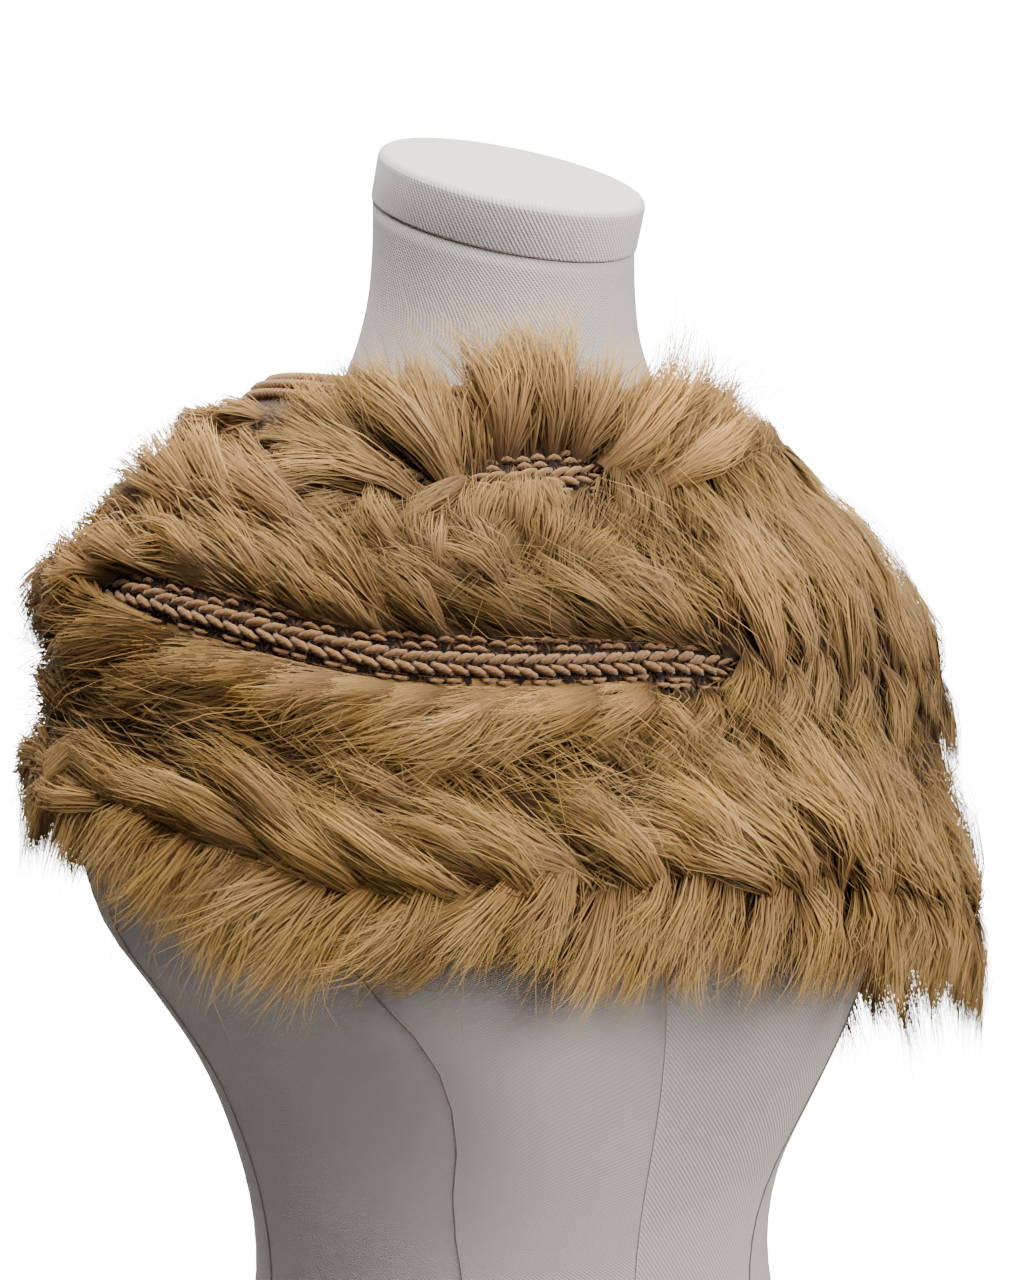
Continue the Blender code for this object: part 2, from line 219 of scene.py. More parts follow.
SHOULDER_TUFTS = named(
    Tuft,
    (-58, 38, -123, -106, 92, 6.5, 0.9), (-63, 34, -120, -104, 84, 6.5, 0.9),
    (-68, 43, -122, -108, 84, 6.5, 1.25), (-74, 46, -124, -114, 80, 6.5, 1.6),
    (-77, 52, -106, -96, 66, 6.0, 1.25), (-88, 40, -118, -104, 44, 6.0, 0.8),
    (-90, 50, -112, -98, 56, 6.0, 0.9), (-102, 44, -112, -100, 46, 6.5, 0.8),
    (-104, 56, -102, -92, 56, 6.5, 0.95), (-116, 46, -108, -98, 50, 6.5, 0.9),
    (-46, 36, -140, -160, 34, 8.0, 0.62), (-41, 44, -158, -184, 42, 8.0, 0.66),
    (-36, 31, 178, 160, 34, 8.0, 0.68), (-33, 40, -168, -150, 36, 8.0, 0.62),
    (-29, 29, 168, 186, 32, 8.0, 0.68), (-25, 38, 160, 172, 38, 8.0, 0.62),
    (-20, 28, -158, -172, 30, 8.0, 0.6), (-30, 49, -130, -112, 34, 8.0, 0.6),
    (-20, 44, 140, 118, 32, 8.0, 0.56), (-12, 33, 160, 120, 30, 7.0, 0.52),
)


class FormSection(NamedTuple):
    """One cross-section of the dress form."""

    z: float
    tilt: float
    half_width: float
    front: float
    back: float
    power: float


FORM = named(
    FormSection,
    (0, 0, 157, 111, 118, 2.2), (40, 0, 162, 113, 122, 2.2), (80, 0, 161, 112, 120, 2.2),
    (115, 0, 151, 108, 113, 2.2), (150, 0, 136, 102, 101, 2.15), (185, 0, 123, 97.5, 90, 2.15),
    (220, 0, 117, 96, 84, 2.15), (255, 0, 119.5, 100, 85, 2.15), (290, 0, 129, 108, 89, 2.2),
    (320, 0, 142, 114, 95, 2.2), (350, 0, 161, 117, 101, 2.25), (380, 0, 181, 116, 106, 2.3),
    (415, 0, 190, 113, 109, 2.35), (455, 0, 191, 107, 109, 2.35), (490, 0, 186, 100, 107, 2.3),
    (515, 0, 168, 93, 103, 2.3), (535, 0, 148, 85, 98, 2.3), (552, 0, 126, 77, 91, 2.25),
    (567, 1, 105, 70, 83, 2.2), (582, 4, 84, 65, 74, 2.1), (600, 9, 69, 60, 66, 2.05),
    (625, 15, 60, 58, 61, 2), (648, 20, 57, 59, 60, 2), (669, 22, 56.5, 60, 60, 2),
)


# ---- small maths
def cubic(a: Array, b: Array, c: Array, d: Array, u: Array) -> Array:
    """Catmull-Rom cubic at the share u of the way from b to c, with a before and d after them."""
    return b + 0.5 * u * (c - a + u * (2 * a - 5 * b + 4 * c - d + u * (3 * (b - c) + d - a)))


def smooth_ring(values: Ring, azimuth: Array) -> Array:
    """Periodic cubic through the station values.

    Args:
        values: one value for each station.
        azimuth: angles in radians.

    Returns:
        The value at each azimuth.
    """
    table = np.asarray(values, dtype=float)
    place = np.asarray(azimuth) / TURN * len(table)
    first = np.floor(place).astype(int)
    around = [table[(first + k) % len(table)] for k in (-1, 0, 1, 2)]
    return cubic(*around, place - first)


def smooth_line(table: Array, steps: int) -> Array:
    """Catmull-Rom line through the rows of a table.

    Args:
        table: values along the first axis.
        steps: rows made from each row to the next.

    Returns:
        The rows of the smooth line, with the table's own among them.
    """
    padded = np.concatenate([[2 * table[0] - table[1]], table, [2 * table[-1] - table[-2]]])
    rows = [cubic(*padded[k:k + 4], u / steps)
            for k in range(len(table) - 1) for u in range(steps)]
    return np.array(rows + [table[-1]])


def smooth_step(x: Array) -> Array:
    """Ease from 0 to 1 as x goes from 0 to 1."""
    clipped = np.clip(x, 0.0, 1.0)
    return clipped * clipped * (3 - 2 * clipped)


def unit(vectors: Array, least: float = 1e-9) -> Array:
    """The vectors scaled to length 1, or left short if below the least length."""
    return vectors / np.maximum(np.linalg.norm(vectors, axis=-1, keepdims=True), least)


def showing(row: str, azimuth: Array) -> Array:
    """How far a row's braid shows, from 0 where fur closes over it to 1.

    Args:
        row: name of the braid's ring.
        azimuth: angles in radians.

    Returns:
        The share that shows at each azimuth.
    """
    degrees = np.degrees(azimuth) % 360
    shown = np.zeros_like(degrees)
    for first, last in SHOWING[row]:
        before = (first - degrees + 180) % 360 - 180
        after = (degrees - last + 180) % 360 - 180
        away = np.maximum(before, after)
        shown = np.maximum(shown, 1 - np.clip(away / SHOW_RAMP, 0, 1))
    return shown


# ---- mesh making
@dataclass
class MeshParts:
    """Points and faces that will become one mesh."""

    points: list[Array] = field(default_factory=list)
    faces: list[Array] = field(default_factory=list)
    uvs: list[Array] = field(default_factory=list)
    values: dict[str, list[Array]] = field(default_factory=dict)
    normals: list[Array] = field(default_factory=list)
    count: int = 0

    def add(self, points: Array, faces: list[Array], uvs: list[Array] | None = None,
            normals: Array | None = None, **values: Array) -> None:
        """Add points, and faces that name them from zero.

        Args:
            points: positions in metres, one row each.
            faces: arrays of corners, one array for each number of corners.
            uvs: one array of texture places for each array of faces.
            normals: directions that the points are lit from, if not the faces' own.
            values: named numbers, one for each point.
        """
        self.points.append(points)
        for index, corners in enumerate(faces):
            self.faces.append(corners + self.count)
            flat = corners.reshape(-1)
            self.uvs.append(np.zeros((len(flat), 2)) if uvs is None
                            else uvs[index].reshape(-1, 2))
        for name, numbers in values.items():
            self.values.setdefault(name, []).append(numbers)
        if normals is not None:
            self.normals.append(normals)
        self.count += len(points)

    def build(self, name: str) -> Object:
        """Make the object and link it to the scene.

        Args:
            name: name of the new object.

        Returns:
            The new object, with smooth faces.
        """
        mesh = bpy.data.meshes.new(name)
        mesh.vertices.add(self.count)
        mesh.vertices.foreach_set("co", np.concatenate(self.points).astype(np.float32).ravel())
        corners = np.concatenate([block.ravel() for block in self.faces])
        sizes = np.concatenate([np.full(len(block), block.shape[1]) for block in self.faces])
        mesh.loops.add(len(corners))
        mesh.loops.foreach_set("vertex_index", corners.astype(np.int32))
        mesh.polygons.add(len(sizes))
        starts = np.concatenate([[0], np.cumsum(sizes)[:-1]])
        mesh.polygons.foreach_set("loop_start", starts.astype(np.int32))
        mesh.update(calc_edges=True)
        layer = mesh.uv_layers.new(name="cloth")
        layer.data.foreach_set("uv", np.concatenate(self.uvs).astype(np.float32).ravel())
        for key, numbers in self.values.items():
            made = mesh.attributes.new(key, "FLOAT", "POINT")
            made.data.foreach_set("value", np.concatenate(numbers).astype(np.float32))
        mesh.shade_smooth()
        if self.normals:
            mesh.normals_split_custom_set_from_vertices(np.concatenate(self.normals))
        made = bpy.data.objects.new(name, mesh)
        bpy.context.scene.collection.objects.link(made)
        return made


def grid_faces(rows: int, columns: int) -> tuple[Array, Array]:
    """Quads over rows of points, each row closed on itself.

    Args:
        rows: number of rows.
        columns: number of points in a row.

    Returns:
        The corners of the quads, and the row and column of each corner.
    """
    near = np.stack(np.meshgrid(np.arange(rows - 1), np.arange(columns), indexing="ij"), -1)
    near = near.reshape(-1, 2)
    places = np.stack([near, near + (0, 1), near + (1, 1), near + (1, 0)], 1)
    corners = places[..., 0] * columns + places[..., 1] % columns
    return corners, places


def bundle_of_tubes(parts: MeshParts, centres: Array, outward: Array, radius: Array,
                    sides: int, twist: float = 0.0, ply: float = 0.0) -> None:
    """Add many round tubes with closed ends, all with as many rings.

    Args:
        parts: where the tubes go.
        centres: middle of each ring, tubes by rings by 3, in metres.
        outward: a direction away from the surface under each ring.
        radius: radius of each ring, tubes by rings, in metres.
        sides: corners of a ring.
        twist: turns that the plies make along a tube.
        ply: how deep the groove between two plies is, over the radius.
    """
    tubes, rings = centres.shape[:2]
    along = unit(np.gradient(centres, axis=1))
    across = unit(np.cross(along, outward))
    up = np.cross(across, along)
    turn = np.arange(sides) / sides * TURN
    phase = twist * TURN * np.linspace(0, 1, rings)
    wave = np.cos(2 * (turn[None, :] - phase[:, None]))
    reach = radius[:, :, None] * (1 + ply * wave[None])
    ring = (across[:, :, None] * np.cos(turn)[None, None, :, None]
            + up[:, :, None] * np.sin(turn)[None, None, :, None])
    points = centres[:, :, None] + reach[..., None] * ring
    quads, _ = grid_faces(rings, sides)
    offsets = np.arange(tubes) * rings * sides
    walls = (quads[None] + offsets[:, None, None]).reshape(-1, 4)
    first = np.arange(sides)[::-1][None] + offsets[:, None]
    last = np.arange(sides)[None] + (rings - 1) * sides + offsets[:, None]
    groove = np.broadcast_to(wave[None], (tubes, rings, sides)).reshape(-1)
    parts.add(points.reshape(-1, 3), [walls, first, last], ply=groove)


# ---- materials
class Gloss(NamedTuple):
    """How a finish takes the light, the same all over."""

    roughness: float
    specular: float
    sheen: float = 0.0


class Nodes:
    """Builds the node tree of one material."""

    def __init__(self, name: str) -> None:
        """Start a material that holds only its output and shader.

        Args:
            name: name of the material.
        """
        self.material = bpy.data.materials.new(name)
        self.material.use_nodes = True
        self.tree = self.material.node_tree
        self.shader = self.tree.nodes["Principled BSDF"]

    def add(self, kind: str, inputs: dict | None = None, **settings: object) -> bpy.types.Node:
        """Add a node.

        Args:
            kind: the node's type.
            inputs: values, or sockets to link, by input name or number.
            settings: properties of the node.

        Returns:
            The new node.
        """
        node = self.tree.nodes.new(kind)
        for key, value in settings.items():
            setattr(node, key, value)
        for key, value in (inputs or {}).items():
            self.feed(node.inputs[key], value)
        return node

    def feed(self, socket: Socket, value: object) -> None:
        """Link a socket to another, or set its value.

        Args:
            socket: the input.
            value: an output, or the input's new value.
        """
        if isinstance(value, Socket):
            self.tree.links.new(value, socket)
        else:
            socket.default_value = value

    def math(self, operation: str, *values: object) -> Socket:
        """Add a Math node.

        Args:
            operation: what it does.
            values: its numbers or sockets.

        Returns:
            The result.
        """
        node = self.add("ShaderNodeMath", operation=operation)
        for socket, value in zip(node.inputs, values):
            self.feed(socket, value)
        return node.outputs[0]

    def attribute(self, name: str) -> Socket:
        """A named number that the mesh carries."""
        return self.add("ShaderNodeAttribute", attribute_name=name).outputs["Fac"]

    def weighted(self, *terms: tuple[Socket, float]) -> Socket:
        """Add up numbers, each times its weight.

        Args:
            terms: the numbers and their weights.

        Returns:
            The sum.
        """
        first, *rest = [self.math("MULTIPLY", value, weight) for value, weight in terms]
        for term in rest:
            first = self.math("ADD", first, term)
        return first

    def waves(self, place: Socket, count: float) -> Socket:
        """A sine with this many waves to each unit of the place."""
        return self.math("SINE", self.math("MULTIPLY", place, TURN * count))

    def texture_place(self) -> tuple[Socket, Socket]:
        """The two coordinates of the mesh's texture places."""
        place = self.add("ShaderNodeTexCoord").outputs["UV"]
        return tuple(self.add("ShaderNodeSeparateXYZ", {0: place}).outputs[:2])

    def noise(self, scale: float, detail: float = 3.0) -> Socket:
        """Noise from 0 to 1 with this many features to a metre.

        Args:
            scale: features to a metre.
            detail: how many finer layers it has.

        Returns:
            The noise.
        """
        place = self.add("ShaderNodeTexCoord").outputs["Object"]
        node = self.add("ShaderNodeTexNoise",
                        {"Vector": place, "Scale": scale, "Detail": detail})
        return node.outputs["Fac"]

    def ramp(self, factor: Socket, stops: Iterable[tuple[float, Colour]]) -> Socket:
        """Colours along a factor.

        Args:
            factor: number from 0 to 1.
            stops: place and colour of each stop.

        Returns:
            The colour.
        """
        stops = list(stops)
        node = self.add("ShaderNodeValToRGB", {"Fac": factor})
        elements = node.color_ramp.elements
        while len(elements) < len(stops):
            elements.new(0.5)
        for element, (place, colour) in zip(elements, stops):
            element.position = place
            element.color = (*colour, 1.0)
        return node.outputs["Color"]

    def mix(self, factor: object, first: object, second: object, blend: str = "MIX") -> Socket:
        """Two colours mixed.

        Args:
            factor: share of the second colour.
            first: colour or socket.
            second: colour or socket.
            blend: how they mix.

        Returns:
            The mixed colour.
        """
        node = self.add("ShaderNodeMix", data_type="RGBA", blend_type=blend)
        self.feed(node.inputs[0], factor)
        for socket, value in ((node.inputs[6], first), (node.inputs[7], second)):
            self.feed(socket, (*value, 1.0) if isinstance(value, tuple) else value)
        return node.outputs[2]

    def spread(self, value: Socket, low: float, high: float) -> Socket:
        """A number from 0 to 1 spread from low to high."""
        node = self.add("ShaderNodeMapRange", {"Value": value, "To Min": low, "To Max": high})
        return node.outputs[0]

    def bump(self, height: Socket, depth: float, strength: float) -> None:
        """Raise the surface.

        Args:
            height: height from 0 to 1.
            depth: metres from 0 to 1.
            strength: share of the effect.
        """
        node = self.add("ShaderNodeBump",
                        {"Height": height, "Distance": depth, "Strength": strength})
        self.feed(self.shader.inputs["Normal"], node.outputs[0])

    def finish(self, colour: Socket, gloss: Gloss) -> Material:
        """Set the shader.

        Args:
            colour: base colour.
            gloss: how the finish takes the light.

        Returns:
            The finished material.
        """
        self.feed(self.shader.inputs["Base Color"], colour)
        for name, value in zip(("Roughness", "Specular IOR Level", "Sheen Weight"), gloss):
            self.shader.inputs[name].default_value = value
        return self.material


@dataclass(frozen=True)
class TwillFinish:
    """Off-white twill, drawn tight: slanting ribs crossed by finer threads, darker in the low
    parts of the weave as painted shade.
    """

    name: str
    light: Colour
    dark: Colour
    rib: float = 0.0018
    slant: float = 0.72
    wobble: float = 0.0006
    wobble_scale: float = 90.0
    thread_over_rib: float = 0.62
    rib_share: float = 0.38
    thread_share: float = 0.12
    patch_scale: float = 7.0
    patch: Pair = (0.94, 1.05)
    relief: float = 0.0003
    relief_share: float = 0.9
    gloss: Gloss = Gloss(0.9, 0.15, 0.1)

    def build(self) -> Material:
        """Make the cloth, a little uneven.

        Returns:
            The finished material.
        """
        nodes = Nodes(self.name)
        across, up = nodes.texture_place()
        wobble = nodes.math("MULTIPLY", nodes.noise(self.wobble_scale), self.wobble)
        slant = nodes.math("ADD", across, nodes.math("MULTIPLY", up, self.slant))
        ribs = nodes.waves(nodes.math("ADD", slant, wobble), 1 / self.rib)
        threads = nodes.waves(up, 1 / (self.rib * self.thread_over_rib))
        weave = nodes.weighted((ribs, self.rib_share), (threads, self.thread_share))
        height = nodes.math("ADD", weave, 0.5)
        # Painted shade: the low parts of the weave are darker
        cloth = nodes.mix(nodes.spread(height, 0.0, 1.0), self.dark, self.light)
        uneven = nodes.spread(nodes.noise(self.patch_scale, 4.0), *self.patch)
        grey = nodes.add("ShaderNodeCombineXYZ", {0: uneven, 1: uneven, 2: uneven})
        colour = nodes.mix(1.0, cloth, grey.outputs[0], "MULTIPLY")
        nodes.bump(height, self.relief, self.relief_share)
        return nodes.finish(colour, self.gloss)


@dataclass(frozen=True)
class YarnFinish:
    """Twisted wool yarn, darker in the grooves between its plies as painted shade."""

    name: str
    light: Colour
    dark: Colour
    ply_share: float = 0.35
    ply_level: float = 0.55
    shares: Triple = (0.6, 0.35, 0.25)
    fibre_scale: float = 1400.0
    dye_scale: float = 60.0
    stops: Pair = (0.2, 0.85)
    relief: float = 0.0003
    relief_share: float = 0.7
    gloss: Gloss = Gloss(0.95, 0.15, 0.3)

    def build(self) -> Material:
        """Make the yarn, with fine fibres, uneven dye and painted shade in the grooves.

        Returns:
            The finished material.
        """
        nodes = Nodes(self.name)
        ply = nodes.spread(nodes.attribute("ply"), 0.0, 1.0)
        # Painted shade: the grooves between the plies are darker
        groove_shade = nodes.math("ADD", nodes.math("MULTIPLY", nodes.attribute("ply"), self.ply_share),
                           self.ply_level)
        fibres = nodes.noise(self.fibre_scale, 2.0)
        dye = nodes.noise(self.dye_scale, 2.0)
        shade = nodes.weighted(*zip((groove_shade, fibres, dye), self.shares))
        colour = nodes.ramp(shade, zip(self.stops, (self.dark, self.light)))
        nodes.bump(nodes.math("ADD", fibres, ply), self.relief, self.relief_share)
        return nodes.finish(colour, self.gloss)


@dataclass(frozen=True)
class KnitFinish:
    """Plain knitted cloth, in columns of V stitches, darker in the hollows between them as painted
    shade.
    """

    name: str
    light: Colour
    dark: Colour
    width: float = 0.0052
    height: float = 0.0040
    slope: float = 1.5
    lift: float = 1.2
    rise_share: float = 0.4
    fuzz_share: float = 0.3
    fuzz_scale: float = 900.0
    stops: Pair = (0.1, 0.9)
    relief: float = 0.0012
    relief_share: float = 0.9
    gloss: Gloss = Gloss(0.95, 0.1, 0.2)

    def build(self) -> Material:
        """Lay the stitches by texture place, with some fuzz.

        Returns:
            The finished material.
        """
        nodes = Nodes(self.name)
        across, up = nodes.texture_place()
        column = nodes.math("FRACT", nodes.math("DIVIDE", across, self.width))
        leg = nodes.math("ABSOLUTE", nodes.math("SUBTRACT", column, 0.5))
        slope = nodes.math("MULTIPLY", leg, self.width * self.slope)
        row = nodes.math("DIVIDE", nodes.math("ADD", up, slope), self.height)
        stitch, groove = nodes.waves(row, 1.0), nodes.waves(leg, 1.0)
        rise = nodes.math("MULTIPLY", nodes.math("ADD", stitch, self.lift), groove)
        height = nodes.weighted((rise, self.rise_share),
                                (nodes.noise(self.fuzz_scale), self.fuzz_share))
        # Painted shade: the low parts of the stitches are darker; the fuzz is the yarn's own
        # uneven tone
        colour = nodes.ramp(height, zip(self.stops, (self.dark, self.light)))
        nodes.bump(height, self.relief, self.relief_share)
        return nodes.finish(colour, self.gloss)


@dataclass(frozen=True)
class FurFinish:
    """Long fur, dark at the roots and paler towards the tips."""

    name: str
    root: Colour
    low: Colour
    middle: Colour
    tip: Colour
    stops: tuple[float, float, float, float] = (0.0, 0.13, 0.46, 0.97)
    tone: Pair = (0.55, 1.45)
    patch_scale: float = 24.0
    patch: Pair = (0.82, 1.18)
    dye_scale: float = 40.0
    dye: Pair = (0.88, 1.12)
    # Painted shade: hairs deep in the pile are darker, and the highest a little paler
    depth: Pair = (0.44, 1.06)
    gloss: Gloss = Gloss(0.66, 0.13, 0.04)

    def build(self) -> Material:
        """Colour along each hair, with painted shade deep in the pile, changed by hair and by
        patch.

        Returns:
            The finished material.
        """
        nodes = Nodes(self.name)
        colours = (self.root, self.low, self.middle, self.tip)
        base = nodes.ramp(nodes.attribute("along"), zip(self.stops, colours))
        # The tone holds each hair's own random tone, with painted shade and painted light added by
        # its band
        tone = nodes.spread(nodes.attribute("tone"), *self.tone)
        patch = nodes.spread(nodes.noise(self.patch_scale, 2.0), *self.patch)
        # Painted shade from each hair's height over the pile
        depth = nodes.spread(nodes.attribute("high"), *self.depth)
        value = nodes.math("MULTIPLY", nodes.math("MULTIPLY", tone, patch), depth)
        dye = nodes.spread(nodes.noise(self.dye_scale), *self.dye)
        colour = nodes.add("ShaderNodeHueSaturation", {"Hue": 0.5, "Saturation": dye,
                                                       "Value": value, "Color": base})
        return nodes.finish(colour.outputs[0], self.gloss)


@dataclass(frozen=True)
class FloorFinish:
    """Plain pale floor."""

    name: str = "pale_floor"
    colour: Colour = (0.82, 0.82, 0.82)
    darker: float = 0.99
    patch_scale: float = 3.0
    gloss: Gloss = Gloss(0.9, 0.1)

    def build(self) -> Material:
        """Make it matt and almost white, with a very faint unevenness.

        Returns:
            The finished material.
        """
        nodes = Nodes(self.name)
        shade = nodes.mix(nodes.noise(self.patch_scale), self.colour,
                          tuple(self.darker * c for c in self.colour))
        return nodes.finish(shade, self.gloss)


FORM_TWILL = TwillFinish("form_twill", (0.63, 0.565, 0.535), (0.43, 0.38, 0.36))
# The cap is the form's cloth painted lighter: painted light from above
CAP_TWILL_PAINTED_LIGHT = TwillFinish("cap_twill_painted_light", (0.86, 0.80, 0.775), (0.62, 0.57, 0.55))
SEAM_THREAD = YarnFinish("seam_thread", (0.34, 0.26, 0.24), (0.17, 0.12, 0.11))
PALE_THREAD = YarnFinish("pale_thread", (0.80, 0.66, 0.61), (0.52, 0.40, 0.37))
BRAID_YARN = YarnFinish("braid_yarn_twisted", (0.325, 0.169, 0.064), (0.07, 0.031, 0.012))
RIB_YARN = YarnFinish("rib_yarn_twisted", (0.55, 0.31, 0.135), (0.13, 0.056, 0.024))
KNIT = KnitFinish("knit_brown", (0.22, 0.115, 0.06), (0.03, 0.014, 0.008))
FUR = FurFinish("fur_golden_tan", (0.018, 0.009, 0.005), (0.12, 0.060, 0.023),
                (0.295, 0.162, 0.055), (0.56, 0.343, 0.113))


def dress(piece: Object, material: Material, slot: str,
          *nodes: str) -> Object:
    """Give a piece its finish and its place in the frame.

    Args:
        piece: the new object.
        material: its finish.
        slot: the record's material slot; not used.
        nodes: CAD nodes that it stands for.

    Returns:
        The piece.
    """
    piece.data.materials.append(material)
    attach(piece, BODY)
    if nodes:
        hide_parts(*nodes)
    LOG.info("%s: %d faces", piece.name, len(piece.data.polygons))
    return piece


# ---- the wrap's surface
class Way(Enum):
    """Which way a band's hairs leave their row along the wall."""

    UP = -1
    DOWN = 1


@dataclass
class WrapSurface:
    """Maps azimuth, length along the wall and height over it to a point."""

    columns: int = 720
    steps: int = 8
    pitch: float = 2.0  # step of the table along the wall, in millimetres
    before: float = 60.0  # how far the table goes on past the upper edge
    after: float = 460.0  # how far it goes below that edge
    # Radius, height and direction of the wall by azimuth and length
    grid: Array = field(init=False, repr=False)
    # Length along the wall to each ring by azimuth
    rings: dict[str, Array] = field(init=False, repr=False)

    def __post_init__(self) -> None:
        """Tabulate the wall's line and its direction at every azimuth."""
        azimuth = np.linspace(0, TURN, self.columns + 1)
        line = np.array([[smooth_ring(RADII[name], azimuth), smooth_ring(HEIGHTS[name], azimuth)]
                         for name in HEIGHTS])
        points = smooth_line(line, self.steps)
        lengths = np.linalg.norm(np.diff(points, axis=0), axis=1)
        along = np.concatenate([np.zeros((1, lengths.shape[1])), np.cumsum(lengths, axis=0)])
        places = np.arange(-self.before, self.after + self.pitch, self.pitch)
        self.grid = np.empty((len(azimuth), len(places), 4))
        for column in range(len(azimuth)):
            at, line_here = along[:, column], points[:, :, column]
            slopes = np.gradient(line_here, at, axis=0)
            inside = np.clip(places, 0, at[-1])
            slope = np.stack([np.interp(inside, at, slopes[:, k]) for k in (0, 1)], -1)
            slope = unit(slope)
            here = np.stack([np.interp(inside, at, line_here[:, k]) for k in (0, 1)], -1)
            here += slope * (places - inside)[:, None]
            self.grid[column] = np.concatenate([here, slope], axis=1)
        self.rings = {name: along[k * self.steps] for k, name in enumerate(HEIGHTS)}

    def _share(self, azimuth: Array) -> tuple[Array, Array]:
        """Find each azimuth in the table.

        Args:
            azimuth: angles in radians.

        Returns:
            The column before each azimuth, and the share of the way to the next.
        """
        place = (np.asarray(azimuth) % TURN) / TURN * self.columns
        first = np.minimum(np.floor(place).astype(int), self.columns - 1)
        return first, place - first

    def ring(self, name: str, azimuth: Array) -> Array:
        """How far along the wall a ring lies.

        Args:
            name: name of the ring.
            azimuth: angles in radians.

        Returns:
            The length along the wall at each azimuth, in millimetres.
        """
        first, share = self._share(azimuth)
        table = self.rings[name]
        return table[first] * (1 - share) + table[first + 1] * share

    def sample(self, azimuth: Array, along: Array) -> Array:
        """Radius, height and direction of the wall.

        Args:
            azimuth: angles in radians.
            along: lengths along the wall in millimetres.

        Returns:
            Radius, height and the two parts of the direction, last axis 4 long.
        """
        first, share = self._share(azimuth)
        place = (along + self.before) / self.pitch
        low = np.clip(np.floor(place), 0, self.grid.shape[1] - 2).astype(int)
        place = np.clip(place, 0, self.grid.shape[1] - 1)
        u, v = share[..., None], (place - low)[..., None]
        grid = self.grid
        left = grid[first, low] * (1 - v) + grid[first, low + 1] * v
        right = grid[first + 1, low] * (1 - v) + grid[first + 1, low + 1] * v
        return left * (1 - u) + right * u

    def point(self, azimuth: Array, along: Array, out: Array) -> tuple[Array, Array]:
        """Points outside the wall, and the direction away from it there.

        Args:
            azimuth: angles in radians.
            along: lengths along the wall in millimetres.
            out: heights over the wall in millimetres.

        Returns:
            The points in metres, and unit directions away from the wall.
        """
        azimuth, along, out = np.broadcast_arrays(azimuth, along, out)
        radius, height, run, fall = np.moveaxis(self.sample(azimuth, along), -1, 0)
        side, ahead = np.sin(azimuth), -np.cos(azimuth)
        away = np.stack([-fall * side, -fall * ahead, run], -1)
        on_wall = np.stack([radius * side, radius * ahead, height], -1)
        return (on_wall + away * out[..., None]) * MM, away

    def radius(self, name: str, azimuth: Array) -> Array:
        """Radius of a ring at each azimuth, in millimetres."""
        return smooth_ring(RADII[name], azimuth)

    def even_azimuths(self, name: str, count: int) -> Array:
        """Azimuths that divide a ring evenly by length.

        Args:
            name: name of the ring.
            count: number of azimuths.

        Returns:
            The azimuths in radians.
        """
        fine, steps = self._steps_round(name)
        length = np.concatenate([[0], np.cumsum(steps)])
        return np.interp(np.arange(count) / count * length[-1], length, fine)

    def _steps_round(self, name: str) -> tuple[Array, Array]:
        """Divide a ring finely.

        Args:
            name: name of the ring.

        Returns:
            The azimuths in radians, and the lengths between them in metres.
        """
        fine = np.linspace(0, TURN, self.columns + 1)
        points = self.point(fine, self.ring(name, fine), 0.0)[0]
        return fine, np.linalg.norm(np.diff(points, axis=0), axis=1)

    def eyelets(self, name: str) -> int:
        """How many eyelets a row has along each edge."""
        return round(self.length_round(name) / EYELET_PITCH[name])

    def eyelet_azimuths(self, name: str, way: Way) -> Array:
        """Azimuths of the eyelets along one edge of a row, staggered to the other edge.

        Args:
            name: name of the row's ring.
            way: which edge.

        Returns:
            The azimuths in radians.
        """
        count = self.eyelets(name)
        pairs = self.even_azimuths(name, 2 * count).reshape(-1, 2)
        return pairs[:, 0 if way is Way.UP else 1]

    def length_round(self, name: str) -> float:
        """Length of a ring in millimetres."""
        return float(self._steps_round(name)[1].sum() / MM)


